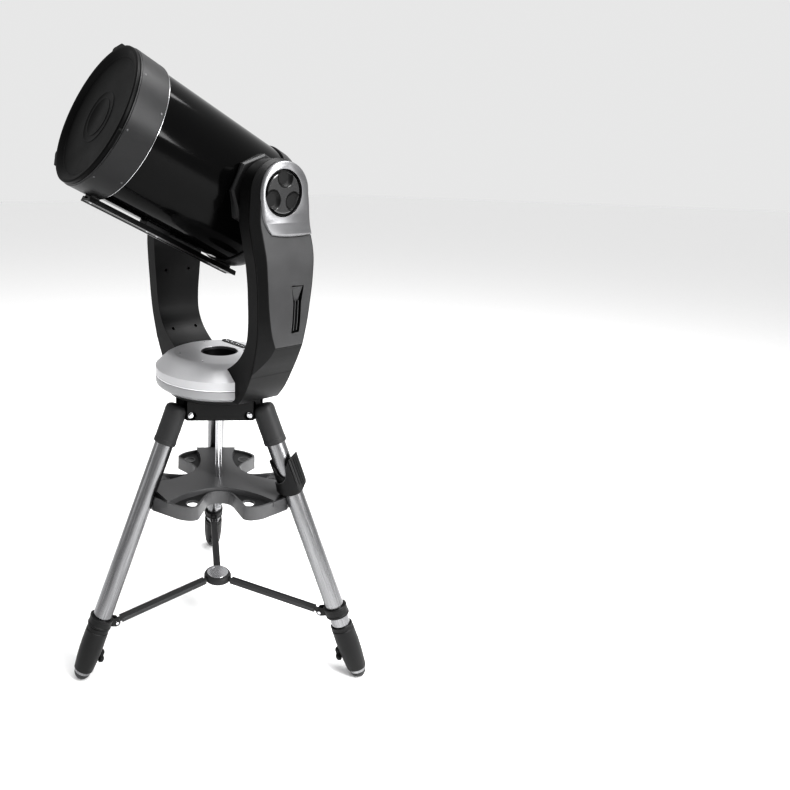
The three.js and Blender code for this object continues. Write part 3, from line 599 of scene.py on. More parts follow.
def spreader_bar(number, index):
    """A channel between the hub's pin and the collar's pin, with a tongue and a pin at each end."""
    along = COLLAR_AT[index]
    pin_r = LEG_TOP[0] + COLLAR_PIN_X * cos(LEG_TILT) + along * sin(LEG_TILT)
    pin_z = LEG_TOP[1] + COLLAR_PIN_X * sin(LEG_TILT) - along * cos(LEG_TILT)
    length = hypot(pin_r - HUB_R, pin_z - SPREADER_Z)
    dip = atan2(SPREADER_Z - pin_z, pin_r - HUB_R)
    section = [(-10.5, -6), (10.5, -6), (10.5, 6), (6.5, 6), (6.5, 4.6), (-6.5, 4.6), (-6.5, 6), (-10.5, 6)]
    channel = along_x(plate(section, 11, length - 16))
    tongue = block(-6, length + 5, -5.3, 5.3, -4.6, 4.4)
    ends = [moved(along_y(rod(2.6, -6.2, 6.2, 24)), x) for x in (0, length)]
    towards_leg = STAND @ Matrix.Rotation(leg_azimuth(index), 4, "Z")
    hub_pin = Matrix.Translation((HUB_R * MM, 0, SPREADER_Z * MM))
    place = towards_leg @ hub_pin @ Matrix.Rotation(dip, 4, "Y")
    bar = together(channel, tongue, *ends)
    piece(f"spreader_{number}", bar, place, "tripod", BAR_GREY, [f"spreader_bar_{number}"], 0.8)


def tripod_leg(index):
    number = index + 1
    place = leg_frame(index)
    steel = leg_steel(number, place)
    sleeve(number, place)
    leg_bolt(number, place)
    upper = tube(TUBE_R - TUBE_WALL, TUBE_R, BOOT_TOP - 29, -17)
    piece(f"upper_leg_{number}", upper, place, "tripod", steel, [f"upper_leg_tube_{number}"], 0.3)
    collar(number, place, COLLAR_AT[index])
    boot(number, place)
    lower_leg(number, place, steel)
    spreader_bar(number, index)


def hub():
    """The spreader's hub, slotted for the three bars, with a disc let into its top."""
    body = turned([
        (0, 151), (29, 151), (38, 155), (40, 158), (40, 166), (38, 170), (35, 174), (31.5, 175.4),
        (31.2, 174.2), (0, 174.2),
    ])
    slots = [spun(block(24, 50, -6.2, 6.2, 140, 171), leg_azimuth(i)) for i in range(LEGS)]
    piece("hub", body, STAND, "tripod", SLEEVE_GREY, ["spreader_hub"], 0.7, cuts=slots)
    disc = turned([
        (0, 174.3), (30.8, 174.3), (30.8, 175.8), (30, 176.6), (24, 176.8), (23.6, 176.4), (6, 176.7),
        (0, 176.8),
    ])
    piece("hub_disc", disc, STAND, "tripod", BRIGHT, (), 0.2)


def support_rod():
    """The rod under the head. Its lower end carries rings in place of a thread."""
    crest, root = ROD_R - 0.1, ROD_R - 0.9
    profile = [(0, 385), (7.6, 385)]
    z = 387
    while z < 470:
        profile += [(crest, z), (crest, z + 0.6), (root, z + 1.4), (root, z + 1.7)]
        z += THREAD_PITCH
    profile += [(ROD_R, z), (ROD_R, 744), (0, 744)]
    piece("centre_rod", turned(profile, 48), STAND, "tripod", BRIGHT, ["support_rod"], 0)


for index in range(LEGS):
    tripod_leg(index)
hub()
support_rod()


# ---- accessory tray ----
def tray_outline(inset):
    """The tray's rim: a broad end at each leg and a scooped gap between the legs."""
    shape = None
    turn_in = inset / 150  # the inset as an angle, about halfway out
    spread = radians(19) + turn_in
    for i in range(LEGS):
        leg = leg_azimuth(i)
        gap = leg + LEG_STEP / 2
        start = polar(216 - inset, leg - radians(4))
        shape = Outline(*start) if shape is None else shape.line(start)
        shape.line(polar(216 - inset, leg + radians(4)), polar(201 - inset, leg + radians(26)))
        lobe = polar(199 - inset, gap - radians(22) - turn_in)
        shape.curve(lobe, polar(178, gap - spread))
        shape.line(polar(118 + inset, gap - spread))
        shape.curve(polar(88 - inset, gap - spread), polar(84 - inset, gap))
        shape.curve(polar(88 - inset, gap + spread), polar(118 + inset, gap + spread))
        shape.line(polar(178, gap + spread))
        lobe = polar(199 - inset, gap + radians(22) + turn_in)
        shape.curve(lobe, polar(201 - inset, gap + radians(34)))
    return shape.closed()


def tray_star(grow):
    """The outline of the tray's raised middle, with an arm to each leg."""
    shape = None
    for i in range(LEGS):
        leg = leg_azimuth(i)
        gap = leg + LEG_STEP / 2
        start = polar(204, leg - radians(17))
        shape = Outline(*start) if shape is None else shape.line(start)
        shape.line(polar(204, leg + radians(17)), polar(178 + grow, leg + radians(19)))
        shape.line(polar(162 + grow, leg + radians(19)))
        shape.curve(polar(92 + grow, gap - radians(34)), polar(75 + grow, gap))
        shape.curve(polar(92 + grow, gap + radians(34)), polar(162 + grow, gap + radians(42)))
    return shape.closed()


def tray_holes(index):
    """The centres of the two eyepiece holes on either side of a gap between two legs."""
    gap = FIRST_LEG + (index + 0.5) * LEG_STEP
    return [polar(TRAY_HOLE_RING, gap + side * TRAY_HOLE_TURN) for side in (-1, 1)]


def leg_bar(r, index):
    """The space a leg takes where it passes the tray."""
    bar = spun(rod(r, BOOT_TOP, 60, 48), -LEG_TILT, "Y")
    return spun(moved(bar, LEG_TOP[0], 0, LEG_TOP[1]), leg_azimuth(index))


def tray():
    lip = TRAY_SHELF + 3
    skirt = loft([(tray_outline(0), TRAY_BOTTOM), (tray_outline(0.6), lip)])
    hollow = plate(tray_outline(5), TRAY_BOTTOM - PROUD, TRAY_FLOOR - 5)
    pocket = plate(tray_outline(7), TRAY_FLOOR, lip + 4)
    star = loft([(tray_star(4), TRAY_FLOOR - 5), (tray_star(2), TRAY_TOP - 4), (tray_star(0), TRAY_TOP)])
    boss = rod(22, TRAY_BOTTOM + 4, TRAY_TOP, 64)
    holes, rims = [], []
    for index in range(LEGS):
        for x, y in tray_holes(index):
            holes.append(moved(rod(TRAY_HOLE_R, TRAY_FLOOR - 9, TRAY_TOP + PROUD, 64), x, y))
            rims.append(moved(tube(TRAY_HOLE_R - 1, 18.5, TRAY_FLOOR - 3, TRAY_FLOOR + 1.6, 64), x, y))
        holes.append(leg_bar(TUBE_R + 1, index))
    holes.append(rod(ROD_R + 0.5, TRAY_BOTTOM - PROUD, TRAY_TOP + PROUD, 64))
    made = new_object("tray", skirt, STAND)
    carve(made, hollow, STAND)
    carve(made, pocket, STAND)
    for extra in (star, boss, *rims):
        carve(made, extra, STAND, "UNION")
    for hole in holes:
        carve(made, hole, STAND)
    soften(made, 1.2)
    finish(made, "tray", TRAY_GREY, ["accessory_tray"])


def tray_pocket_shade():
    """A darker sheet on the floor of the tray's pockets: painted shade where the star's walls shade them."""
    low, high = TRAY_FLOOR - 3, TRAY_FLOOR + 3
    cuts = [plate(tray_star(3.4), low, high)]
    for index in range(LEGS):
        cuts += [moved(rod(18.8, low, high, 64), x, y) for x, y in tray_holes(index)]
    cuts += [leg_bar(TUBE_R + 1.2, index) for index in range(LEGS)]
    pad = plate(tray_outline(8.5), TRAY_FLOOR - 0.4, TRAY_FLOOR + 0.5)
    piece("tray_pocket_shade", pad, STAND, "tray", POCKET_SHADE, (), 0, cuts=cuts)


def tray_nut():
    grip = lobed(27, 410, TRAY_BOTTOM + 3.5, 3, 9)
    nut = together(grip, tube(9.6, 14, 405.5, 412, 48))
    bore = rod(ROD_R + 0.5, 400, 460, 48)
    piece("tray_nut", nut, STAND, "tray_nut", BLACK, ["tray_knob"], 0.8, cuts=[bore])


tray()
tray_pocket_shade()
tray_nut()


# ---- holder on one leg ----
def wrapped(stations, wall):
    """A wall curved round Z through stations of (degrees, low radius, low z, high radius, high z)."""
    rows = []
    for start, end in zip(stations, stations[1:]):
        count = max(1, round((end[0] - start[0]) / 3))
        for i in range(count):
            rows.append([a + (b - a) * i / count for a, b in zip(start, end)])
    rows.append(stations[-1])
    points, faces = [], []
    for turn, low_r, low_z, high_r, high_z in rows:
        for r, z in ((low_r - wall, low_z), (low_r, low_z), (high_r, high_z), (high_r - wall, high_z)):
            points.append((*polar(r, radians(turn)), z))
    for i in range(len(rows) - 1):
        for k in range(4):
            a, b = 4 * i + k, 4 * i + (k + 1) % 4
            faces.append([a, b, b + 4, a + 4])
    last = len(points)
    faces += [[3, 2, 1, 0], [last - 4, last - 3, last - 2, last - 1]]
    return points, faces


def leg_clip():
    """A band clipped round one leg, in a guard whose top edge is swept down on one side."""
    place = leg_frame(CLIP_LEG)
    heights = [
        (165, -214, -132), (205, -214, -130), (228, -214, -144), (250, -216, -168), (272, -216, -178),
        (398, -214, -178),
    ]
    stations = [(turn, CLIP_R, low, CLIP_R, high) for turn, low, high in heights]
    band = wrapped(stations, CLIP_R - (TUBE_R + FIT))
    piece("leg_clip", band, place, "tripod", BLACK, ["leg_holder"], 0.8)
    edge = [
        (220, 42, -210, 38, -187), (248, 43, -219, 40, -189), (268, 43, -224, 40, -187),
        (282, 42, -226, 40, -181), (291, 41, -227, 40, -171), (298, 41, -227, 40, -159),
        (306, 41, -227, 40, -146), (318, 42, -226, 41, -136), (334, 42, -222, 42, -130),
        (352, 42, -215, 43, -127), (388, 43, -207, 44, -127),
    ]
    piece("clip_guard", wrapped(edge, 2.6), place, "tripod", BLACK, (), 0.8)
    # painted highlight: a lighter grey strip along the guard's top edge, standing in for the light along
    # that edge
    highlight_brim = [(turn, r + 0.8, z - 1.4, r + 1, z + 0.6) for turn, _, _, r, z in edge[:7]]
    piece("clip_brim_highlight", wrapped(highlight_brim, 3.6), place, "tripod", PANEL_GREY, (), 0.4)
    rib = (43, -206, 44, -134)
    ribs = [wrapped([(turn, *rib), (turn + 3, *rib)], 2) for turn in range(318, 384, 11)]
    piece("clip_ribs", together(*ribs), place, "tripod", BLACK, (), 0.3)


leg_clip()


# ---- drive base ----
def base_envelope(gap):
    """The space the base takes, grown by a gap, that the arms are cut back to."""
    return turned([
        (0, 700), (150 + gap, 700), (150 + gap, 762), (168 + gap, 771), (BASE_R + gap, 779),
        (BASE_R + gap, 819), (149 + gap, 841.4 + gap), (122, 854 + gap), (0, BASE_TOP + gap),
    ], WIDE)


def base_housing():
    """The fixed pan, and the turning housing in two halves with a light seam between them."""
    inner = BASE_R - 4
    pan = turned([
        (11, 748), (138, 748), (144, 754), (144, 761), (46, 761), (46, 796), (11, 796),
    ], WIDE)
    piece("base_plate", pan, STAND, "tripod", HEAD_BLACK, ["base_pan"], 1)
    lower = turned([
        (50, 765), (149, 762), (158, 764.5), (168, 771), (171.6, 775), (BASE_R, 779), (BASE_R, SEAM - 4.2),
        (BASE_R - 0.8, SEAM - 3.4), (inner, SEAM - 3.4), (inner, 781), (165, 775), (149, 769), (50, 769),
    ], WIDE)
    piece("base_lower", lower, STAND, "turntable", STRIP_GREY, ["drive_base"], 0.5)
    seam = turned([
        (BASE_R - 3, SEAM - 2.4), (BASE_R - 0.4, SEAM - 2.4), (BASE_R, SEAM - 1.6), (BASE_R, SEAM),
        (BASE_R - 3, SEAM),
    ], WIDE)
    piece("base_seam", seam, STAND, "turntable", SEAM_WHITE, (), 0.1)
    upper = turned([
        (BASE_R, SEAM + 1), (BASE_R, 818.8), (149, 841.4), (136, 848.4), (123, 853.4), (121, BASE_TOP - 1),
        (60, BASE_TOP), (51.5, BASE_TOP), (50, BASE_TOP - 1), (50, 848), (122, 849), (146, 836),
        (inner, 817), (inner, SEAM), (BASE_R - 1, SEAM),
    ], WIDE)
    port_opening = plate(port_outline(11.4), 840, 860)
    switch_opening = block(28, 52, 56, 70, 840, 860)
    screw_at = [(-40, -100), (60, -92), (100, 30), (-108, 20)]
    screw_seats = [moved(rod(4.2, 852.2, 860, 32), x, y) for x, y in screw_at]
    cuts = [port_opening, switch_opening, *screw_seats]
    piece("base_upper", upper, STAND, "turntable", BASE_SILVER, ["base_cover"], 0.8, cuts=cuts)
    heads = together(*[moved(socket_screw(3.4, 1.4), x, y, 852.6) for x, y in screw_at])
    piece("base_screws", heads, STAND, "turntable", BRIGHT, (), 0.2)


def port_outline(r):
    """A slot with round ends, r either side of the row of ports."""
    shape = Outline(-84, PORT_Y - r).line((8, PORT_Y - r)).arc(8, PORT_Y, r, -pi / 2, pi / 2)
    return shape.line((-84, PORT_Y + r)).arc(-84, PORT_Y, r, pi / 2, 1.5 * pi).closed()


def base_top():
    """The port panel, the rocker switch and the well at the middle."""
    sockets = [moved(rod(7, 847, 860, 40), x, PORT_Y) for x in PORT_X]
    panel = plate(port_outline(11), 843, 856.4)
    piece("port_plate", panel, STAND, "turntable", BLACK, ["port_panel"], 0.6, cuts=sockets)
    ring = turned([(5.6, 847.1), (6.9, 847.1), (6.9, 856.8), (6.3, 857), (5.6, 856)], 40)
    rings = [moved(ring, x, PORT_Y) for x in PORT_X]
    piece("port_rings", together(*rings), STAND, "turntable", BRIGHT, (), 0.2)
    side = Outline(30, 845).line((50, 845), (50, 859))
    side.curve((43, 856.4), (40, 856.6)).curve((37, 856.4), (30, 855.9))
    rocker = along_y(plate(side.closed(), 57.2, 68.8))
    piece("rocker_switch", rocker, STAND, "rocker", WELL_BLACK, ["power_switch"], 0.5)

    bowl = turned([
        (0, 818), (46, 818), (WELL_R, 824), (WELL_R, 846.8), (47, 846.8), (47, 828), (44, 822), (16, 821),
        (15, 824), (0, 824.4),
    ])
    piece("well_bowl", bowl, STAND, "turntable", WELL_BLACK, ["center_well"], 0.4)
    rim = turned([(47.4, 847), (49.6, 847), (49.6, 854.6), (48.4, BASE_TOP), (47.4, 854)])
    piece("well_rim", rim, STAND, "turntable", SILVER, (), 0.2)


base_housing()
base_top()


# ---- fork ----
def bow(z):
    """How far the arm bows outwards at a height, straight between the heights listed in BOW."""
    for (z0, x0), (z1, x1) in zip(BOW, BOW[1:]):
        if z <= z1:
            return x0 + (x1 - x0) * max(0.0, z - z0) / (z1 - z0)
    return 0


def bend(made):
    """Bows a piece of the right arm outwards, after slicing it finely enough."""
    shaped = bmesh.new()
    shaped.from_mesh(made.data)
    for z in range(850, 1222, 12):
        everything = shaped.verts[:] + shaped.edges[:] + shaped.faces[:]
        level = (0, 0, z * MM)
        bmesh.ops.bisect_plane(shaped, geom=everything, plane_co=level, plane_no=(0, 0, 1), dist=1e-6)
    for vertex in shaped.verts:
        z = vertex.co.z / MM
        near = [bow(z + step * BOW_EASE) for step in (-1, -0.5, 0, 0.5, 1)]
        vertex.co.x += sum(near) / len(near) * MM
    shaped.to_mesh(made.data)
    shaped.free()


def arm_side(inset=0):
    """An arm seen from its side, with Y and Z as the outline's axes."""
    top = ARM_TOP_R - inset
    shape = Outline(inset - 62, ARM_BOTTOM + inset).line((inset - 64, 850))
    shape.curve((inset - 66, 950), (inset - 70, 1050), (inset - 80, 1150))
    shape.curve((inset - 80, 1200), (inset - 78, 1240), (-top, AXIS_Z))
    shape.arc(0, AXIS_Z, top, pi, 0)
    shape.curve((82 - inset, 1240), (88 - inset, 1200), (85 - inset, 1150))
    shape.curve((80 - inset, 1060), (64 - inset, 960), (64 - inset, 850))
    shape.line((62 - inset, ARM_BOTTOM + inset))
    return shape.closed()


def arm_panel(inset=0):
    """The flat face on the outside of an arm, seen from the same side."""
    shape = Outline(inset - 3, 884 + inset).line((inset - 14, 906))
    shape.curve((inset - 42, 945), (inset - 60, 985), (inset - 62, 1150))
    shape.curve((inset - 64, 1200), (inset - 62, 1240), (inset - 62, AXIS_Z))
    shape.arc(0, AXIS_Z, 62 - inset, pi, 0)
    shape.curve((72 - inset, 1240), (80 - inset, 1200), (79 - inset, 1150))
    shape.curve((74 - inset, 1060), (58 - inset, 960), (56 - inset, 900)).line((54 - inset, 886 + inset))
    return shape.closed()


def arm_front():
    """The right arm seen from the front before it is bowed, curving in under the tube to the base."""
    shape = Outline(ARM_OUTER + 5, 1360).line((ARM_INNER, 1360), (ARM_INNER, 960))
    shape.curve((ARM_INNER, 905), (168, 872), (128, 846)).line((128, 762), (170, 762))
    return shape.curve((198, 790), (240, 845), (ARM_OUTER + 5, 965)).closed()


def cap_outline(grow):
    """The silver cap round the altitude axis, seen from the same side."""
    shape = Outline(-58 - grow, 1230).curve((-52 - grow, 1205), (-46 - grow, 1194), (-38, 1184 - grow))
    shape.curve((10, 1174 - grow), (80 + grow, 1182 - grow))
    shape.curve((82 + grow, 1215), (80 + grow, 1245), (74 + grow, AXIS_Z))
    return shape.arc(6, AXIS_Z + 2, 68 + grow, 0, pi).line((-62 - grow, AXIS_Z - 10)).closed()


def cap_seat(grow, bottom):
    """What is cut away for the cap."""
    return along_x(plate(cap_outline(grow), bottom, CAP_OUTER + 5))


def holster():
    """The slot where the hand control hangs."""
    outline = [(10, 1070), (46, 1068), (40, 1028), (40, 958), (17, 956), (17, 1028)]
    return along_x(plate(outline, ARM_OUTER - 8, ARM_OUTER + 20))


def arm_block():
    """What the arm's outline from the front leaves of a piece."""
    return along_y(plate(arm_front(), -110, 110))


def fork_piece(name, shape, paint, stands_for, side, edge, cuts=(), trim=True, angle=CREASE):
    """A piece of one arm, drawn for the right one, then bowed, and mirrored when side is -1.

    With trim, it is cut back to the arm's outline from the front and to the base.
    """
    here = Matrix.Identity(4)
    made = new_object(name, shape, here)
    if trim:
        carve(made, arm_block(), here, "INTERSECT")
        carve(made, base_envelope(0.3), here)
    for cut in cuts:
        carve(made, cut, here)
    bend(made)
    if side < 0:
        made.data.transform(Matrix.Scale(-1, 4, (1, 0, 0)))
        made.data.flip_normals()
    made.data.transform(STAND)
    soften(made, edge, angle)
    finish(made, "turntable", paint, stands_for)


def shaft_hole(r=31):
    return moved(along_x(rod(r, 100, 262)), z=AXIS_Z)


def fork_arm(side, word):
    """One arm: its casting, its cover with the panel let in, and its cap.

    Only the right arm's cap is open, for the clutch, and only its cover has the hand control's slot.
    """
    slot = [holster()] if side > 0 else []
    clutch_hole = shaft_hole(CLUTCH_HOLE_R + 0.1)
    holes = [moved(along_x(rod(4, 140, 200, 32)), 0, y, z) for z in (885, 1050) for y in (-38, 38)]
    casting = along_x(plate(arm_side(), 120, ARM_SPLIT))
    cuts = [shaft_hole(), *holes]
    fork_piece(f"arm_casting_{word}", casting, ARM_BLACK, [f"fork_arm_{word}"], side, 2.0, cuts)

    skin = along_x(loft([
        (arm_side(0.8), ARM_SPLIT + 0.3), (arm_side(0), ARM_SPLIT + 1.5), (arm_side(0), ARM_SPLIT + 4),
        (arm_panel(), ARM_OUTER),
    ]))
    cuts = [cap_seat(1, CAP_INNER - 0.3), clutch_hole, *slot]
    fork_piece(f"arm_cover_{word}", skin, SHELL_BLACK, [f"arm_shell_{word}"], side, 1.2, cuts, angle=14)

    inlay = along_x(loft([
        (arm_panel(1.5), ARM_OUTER - 0.6), (arm_panel(1.5), ARM_OUTER), (arm_panel(2.3), ARM_OUTER + 0.6),
    ]))
    cuts = [cap_seat(0.5, CAP_INNER - 1), clutch_hole, *slot]
    fork_piece(f"arm_panel_{word}", inlay, PANEL_GREY, (), side, 0.3, cuts)

    lid = along_x(loft([
        (cap_outline(0), CAP_INNER), (cap_outline(0), CAP_OUTER - 5), (cap_outline(-1.4), CAP_OUTER - 2),
        (cap_outline(-4), CAP_OUTER),
    ]))
    opening = moved(along_x(rod(CLUTCH_HOLE_R, CAP_INNER - 5, CAP_OUTER + 5)), z=AXIS_Z)
    cuts = [opening] if side > 0 else []
    fork_piece(f"arm_lid_{word}", lid, SILVER, [f"arm_cap_{word}"], side, 0.8, cuts, trim=False, angle=40)


def holster_inside():
    """The sloped mouth over the slot where the hand control hangs, and the two ribs in it, coloured light
    grey as painted highlight.
    """
    floor_x = ARM_OUTER - 7.8
    narrow = [(floor_x, 24), (floor_x + 2, 24), (floor_x + 2, 34), (floor_x, 34)]
    wide = [(floor_x, 11.5), (ARM_OUTER - 0.6, 11.5), (ARM_OUTER - 0.6, 44), (floor_x, 44)]
    mouth = loft([(narrow, 1031), (wide, 1067)])
    fork_piece("holster_mouth", mouth, PANEL_GREY, (), 1, 0.3, trim=False)
    # painted highlight: the ribs take the lighter panel grey, standing in for the light on their edges
    ribs = [block(floor_x, ARM_OUTER - 1, y - 1.4, y + 1.4, 962, 1034) for y in (24, 33)]
    fork_piece("holster_ribs_highlight", together(*ribs), PANEL_GREY, (), 1, 0.4, trim=False)


def clutch_knob():
    """The altitude clutch: a grip with three scoops that leave a Y, a lining of painted shade, and a ring
    round it.
    """
    grip_r = 46.4
    bezel = turned([(0, 0), (51.4, 0), (51.4, 5), (50, 6), (48, 6), (47, 5), (0, 5)])
    body = turned([(0, 1), (grip_r, 1), (grip_r, 9.5), (45.4, 11.6), (43, 12.8), (0, 12.8)])
    bowl = [(0, 2.4), (8, 2.8), (14, 4.4), (18.5, 7.2), (21.5, 10.6), (23.4, 13.4), (24, 20), (0, 20)]
    # painted shade: a thin black shell lines each scoop, so the scoops read darker than the grip
    shade_lining = [(0, 2.3), (8, 2.7), (14, 4.3), (18.6, 7.1), (21.6, 10.5), (22.2, 11.6)]
    shade_lining += [(r - 0.5, z + 0.4) for r, z in shade_lining[:0:-1]] + [(0, 2.8)]
    centres = [polar(34, radians(85 + 120 * i)) for i in range(3)]
    scoops = [moved(turned(bowl, 64), x, y) for x, y in centres]
    beyond_grip = tube(grip_r - 1, 70, -1, 30)
    place = STAND @ Matrix.Translation(((CAP_INNER + 0.5) * MM, 0, AXIS_Z * MM)) @ ALONG_X
    piece("clutch_bezel", bezel, place, "clutch", WELL_BLACK, (), 0.4)
    piece(
        "clutch_grip", body, place, "clutch", KNOB_BLACK, ["altitude_clutch_knob"], 1.2,
        cuts=scoops, angle=20,
    )
    for i, (x, y) in enumerate(centres):
        shade_cup = moved(turned(shade_lining, 64), x, y)
        piece(f"clutch_scoop_shade_{i + 1}", shade_cup, place, "clutch", WELL_BLACK, (), 0, cuts=[beyond_grip])


fork_arm(1, "right")
fork_arm(-1, "left")
holster_inside()
clutch_knob()


# ---- optical tube: Z runs forwards along it ----
def barrel():
    body = turned([(OPTIC_R - 3, -91.7), (OPTIC_R, -91.7), (OPTIC_R, 305), (OPTIC_R - 3, 305)], WIDE)
    piece("tube_barrel", body, OPTICS, "telescope", TUBE_PAINT, ["optical_tube"], 0.3)


def front_ring():
    """The front cell, the bright edge behind it and two rows of screws in its side."""
    outer, inner = CELL_R, OPTIC_R + FIT
    back, front = CELL_BACK, CELL_FRONT
    cell = turned([
        (inner, back), (outer - 1.5, back), (outer, back + 1.5), (outer, front - 4),
        (outer - 1.2, front - 3.4), (outer - 1.2, front - 0.6), (outer - 2, front), (outer - 8, front),
        (outer - 8, 356), (143, 356), (143, 352), (148, 352), (148, 340), (143, 340), (143, 305.3),
        (inner, 305.3),
    ], WIDE)
    piece("front_ring", cell, OPTICS, "telescope", CELL_PAINT, ["front_cell"], 0.4)
    edge = turned([
        (OPTIC_R + 0.1, back - 1.4), (outer - 0.8, back - 1.4), (outer - 0.8, back - 0.2),
        (OPTIC_R + 0.1, back - 0.2),
    ], WIDE)
    piece("front_ring_edge", edge, OPTICS, "telescope", BRIGHT, (), 0.2)
    head = spun(socket_screw(2.4, 1), pi / 2, "Y")
    heads = []
    for z, count, first in ((back + 8, 6, 10), (front - 11, 8, 32)):
        seated = moved(head, outer - 0.4, 0, z)
        heads += [spun(seated, radians(first + 360 / count * k)) for k in range(count)]
    piece("front_ring_screws", together(*heads), OPTICS, "telescope", DARK_SCREW, (), 0.2)


def lenses_and_mirrors():
    """The corrector with the secondary in it, the baffle and the primary mirror."""
    corrector = tube(38, 147, 342, 350, WIDE)
    piece("corrector", corrector, OPTICS, "telescope", glass_look(), ["corrector_plate"], 0.4)
    holder = turned([
        (0, 322), (44, 322), (46, 325), (46, 341.5), (37.5, 341.5), (37.5, 350.5), (46, 350.5), (46, 356),
        (44.5, 358), (36, 359), (35, 361), (0, 361),
    ])
    piece("secondary_holder", holder, OPTICS, "telescope", BACK_BLACK, ["secondary_mirror"], 0.5)
    foot = REAR_BACK + 8
    baffle = together(tube(24, 26, foot, 120), tube(24, 34, foot, foot + 6))
    piece("baffle", baffle, OPTICS, "telescope", WELL_BLACK, ["baffle_tube"], 0.3)
    mirror = turned([
        (28, -120), (60, -120), (66, -112), (142, -104), (142, -76), (128, -79), (110, -81.6), (90, -84),
        (62, -86.6), (34, -88), (34, -40), (28, -40),
    ], WIDE)
    piece("mirror", mirror, OPTICS, "mirror", MIRROR, ["primary_mirror"], 0.3)


def dust_cap():
    """A shallow cap with faint rings, held by three tabs that stand out from its rim."""
    rim, front = CELL_R, CELL_FRONT
    profile = [
        (0, 364), (134, 364), (140, 372), (rim - 2, front + 1), (rim - 1.6, front + 3),
        (rim - 2.4, front + 8), (rim - 4.5, front + 9.8), (rim - 8, front + 10), (rim - 11, front + 9),
        (143, front + 2.6), (138, 370), (134, 368.2), (62, 368.2), (61, 369), (59, 369), (58, 368.4),
        (46, 368.4), (45, 369.2), (43, 369.2), (42, 368.6), (0, 368.6),
    ]
    tab = Outline(rim - 8, -22).line((rim + 2, -22)).curve((rim + 5, -20), (rim + 5, -14))
    tab.line((rim + 5, 14)).curve((rim + 5, 20), (rim + 2, 22)).line((rim - 8, 22))
    flat = plate(tab.closed(), front + 1.2, front + 8)
    tabs = [spun(flat, radians(degrees)) for degrees in (98, 218, 338)]
    piece("lens_cap", turned(profile, WIDE), OPTICS, "cap", CAP_BLACK, ["dust_cap"], 0.5, joins=tabs)


def rear_end():
    """The rear cell with the focus knob, the eyepiece adapter and six screws."""
    back = REAR_BACK
    shell = turned([
        (29, back), (117, back), (122, back + 1), (148, back + 14), (156, back + 22), (161, back + 33),
        (REAR_R, back + 42), (REAR_R, -71), (161.5, -70), (OPTIC_R + FIT, -70), (OPTIC_R + FIT, -92),
        (152, -92), (152, -102), (143, -120), (115, back + 7), (29, back + 7),
    ], WIDE)
    hole = moved(rod(7, back - 2, back + 9, 40), *FOCUS_AT)
    piece("rear_housing", shell, OPTICS, "telescope", CELL_PAINT, ["rear_cell"], 0.8, cuts=[hole])
    grip = lobed(17, back - 30, back - 3, 20, 1.6, 120)
    core = turned([(0, back - 4), (6, back - 4), (6, back + 14), (0, back + 14)], 40)
    knob = moved(together(grip, core), *FOCUS_AT)
    piece("focus_grip", knob, OPTICS, "focus", RUBBER, ["focus_knob"], 0.4)
    adapter = turned([
        (20, back - 34), (26.6, back - 34), (28, back - 32.6), (28, back - 27), (27, back - 26.4),
        (27, back - 25.4), (28, back - 25), (28, back - 14), (36, back - 11), (38, back - 9),
        (38, back - 0.3), (20, back - 0.3),
    ])
    piece("rear_adapter", adapter, OPTICS, "telescope", BACK_BLACK, ["visual_back"], 0.4)
    head = spun(socket_screw(3.4, 1.8), pi, "X")
    screws = [moved(head, *polar(100, radians(30 + 60 * k)), back) for k in range(6)]
    piece("rear_screws", together(*screws), OPTICS, "telescope", BRIGHT, (), 0.2)


def rail():
    """The dovetail rail under the tube, on three feet hollowed to sit on both cells and the tube."""
    half, low, top = 21, RAIL_BOTTOM, RAIL_TOP
    outline = [
        (-half, top), (-half - 4, low), (-half + 5, low), (-half + 6, low + 1.6), (half - 6, low + 1.6),
        (half - 5, low), (half + 4, low), (half, top), (8, top), (8, top - 5), (-8, top - 5), (-8, top),
    ]
    made = new_object("rail", plate(outline, RAIL_BACK, RAIL_FRONT), OPTICS)
    for back, front, seat in ((299, 321, CELL_R), (100, 170, OPTIC_R), (-104, -74, REAR_R)):
        foot = block(-17.5, 17.5, top - 1, -seat + 9, back, front)
        carve(made, foot, OPTICS, "UNION")
        carve(made, rod(seat + FIT, back - PROUD, front + PROUD, WIDE), OPTICS)
    soften(made, 0.8)
    finish(made, "telescope", RAIL_BLACK, ["dovetail_rail"])
    head = spun(socket_screw(4, 1), pi / 2, "X")
    bolts = [moved(head, 0, low + 1.8, z) for z in (310, 150, 120, -90)]
    piece("rail_bolts", together(*bolts), OPTICS, "telescope", BRIGHT, (), 0.2)


def bracket(side, word):
    """An eight-sided pad on the tube's side, with the altitude shaft on it."""
    def octagon(corner):
        return [polar(corner, pi / 4 * (k + 0.5)) for k in range(8)]

    pad = along_x(loft([(octagon(87), 120), (octagon(87), 168), (octagon(82), 173)]))
    end = ARM_INNER - 3
    neck = along_x(turned([(0, 171), (60, 171), (57, 174), (56, 178), (56, end), (0, end)]))
    shaft = along_x(rod(30, end - 1, 222))
    shapes = [pad, neck, shaft, rod(162.8, -200, 200, WIDE)]
    if side < 0:
        shapes = [mirrored(shape) for shape in shapes]
    pad, neck, shaft, tube_space = shapes
    piece(
        f"bracket_{word}", pad, OPTICS, "telescope", CELL_PAINT, [f"trunnion_{word}"], 2.5,
        joins=[neck, shaft], cuts=[tube_space],
    )


barrel()
front_ring()
lenses_and_mirrors()
dust_cap()
rear_end()
rail()
bracket(1, "right")
bracket(-1, "left")


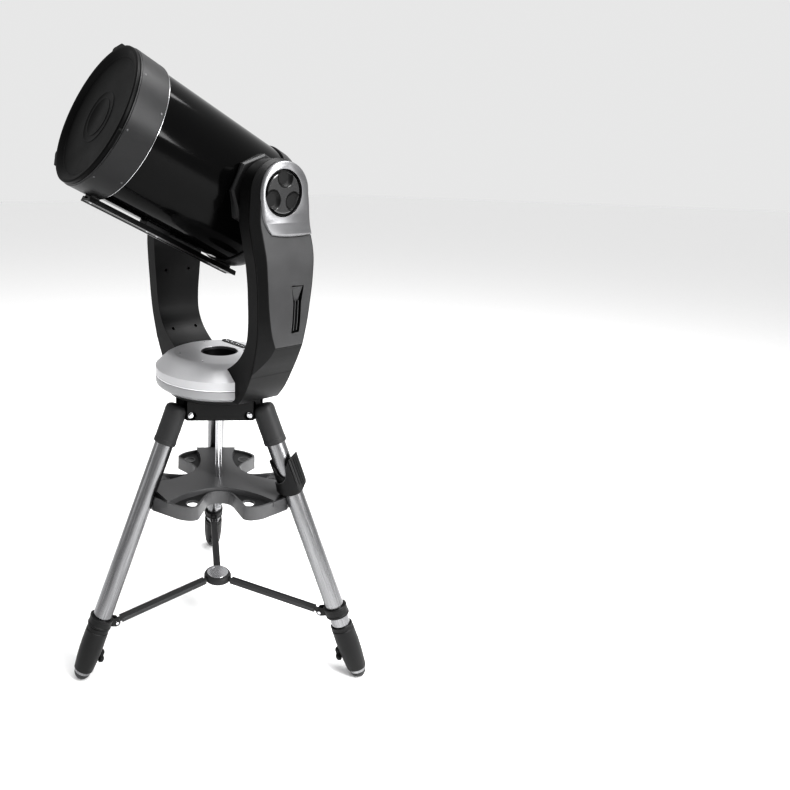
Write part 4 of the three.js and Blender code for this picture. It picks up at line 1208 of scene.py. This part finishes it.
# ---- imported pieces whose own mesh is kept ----
KEPT = {  # each node's look and how far its edges are rounded
    "tripod_head": (HEAD_BLACK, 1.2),
    "azimuth_wheel": (BRASS, 0.2),
    "azimuth_motor": (HEAD_BLACK, 0.8),
    "altitude_motor": (HEAD_BLACK, 0.8),
    "altitude_wheel": (BRASS, 0.2),
}
for name, ((material, slot_name), edge) in KEPT.items():
    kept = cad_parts[name]
    kept.data.materials.clear()
    kept.data.materials.append(material)
    weld = kept.modifiers.new("weld", "WELD")
    weld.merge_threshold = 1e-5
    bevelled(kept, edge)


# ---- floor, light and camera ----
def floor():
    bpy.ops.mesh.primitive_plane_add(size=60)
    ground = bpy.context.object
    ground.name = "floor"
    paint = surface("floor_paint", (0.98, 0.98, 0.98), 0.9, grain=120, bump=0.02, shade=0.01, gloss=0.1)
    ground.data.materials.append(paint)


def softbox(name, position, target, size, power):
    """A rectangular lamp, placed and aimed in metres from the tripod's axis."""
    light = bpy.data.lights.new(name, "AREA")
    light.shape = "RECTANGLE"
    light.size, light.size_y = size
    light.energy = power
    lamp = linked(name, light)
    lamp.location = AXIS + Vector(position)
    lamp.rotation_euler = (Vector(target) - Vector(position)).to_track_quat("-Z", "Y").to_euler()


def studio():
    world = bpy.data.worlds.new("studio")
    world.use_nodes = True
    background = world.node_tree.nodes["Background"]
    background.inputs["Color"].default_value = (1, 1, 1, 1)
    background.inputs["Strength"].default_value = 0.58
    scene = bpy.context.scene
    scene.world = world
    scene.view_settings.view_transform = "Standard"
    scene.view_settings.look = "High Contrast"
    softbox("right", position=(3.0, 0.9, 2.3), target=(0, 0, 1.0), size=(0.9, 2.4), power=95)
    softbox("above", position=(0.6, 0.8, 3.9), target=(0, 0, 1.0), size=(2.4, 2.4), power=125)
    softbox("left", position=(-1.2, -3.2, 1.6), target=(0, 0, 0.9), size=(1.0, 2.2), power=8)


def camera():
    """The camera stands at eye, in metres from the tripod's axis, and looks along gaze."""
    eye = Vector((1.398, -0.961, 1.318))
    gaze = Vector((-0.8143, 0.5233, -0.2513))
    lens = bpy.data.cameras.new("camera")
    lens.sensor_width = 36
    lens.lens = 29.63
    lens.shift_x = 0.247
    lens.shift_y = -0.0665
    made = linked("camera", lens)
    made.location = AXIS + eye
    made.rotation_euler = gaze.to_track_quat("-Z", "Y").to_euler()
    bpy.context.scene.camera = made


floor()
studio()
camera()
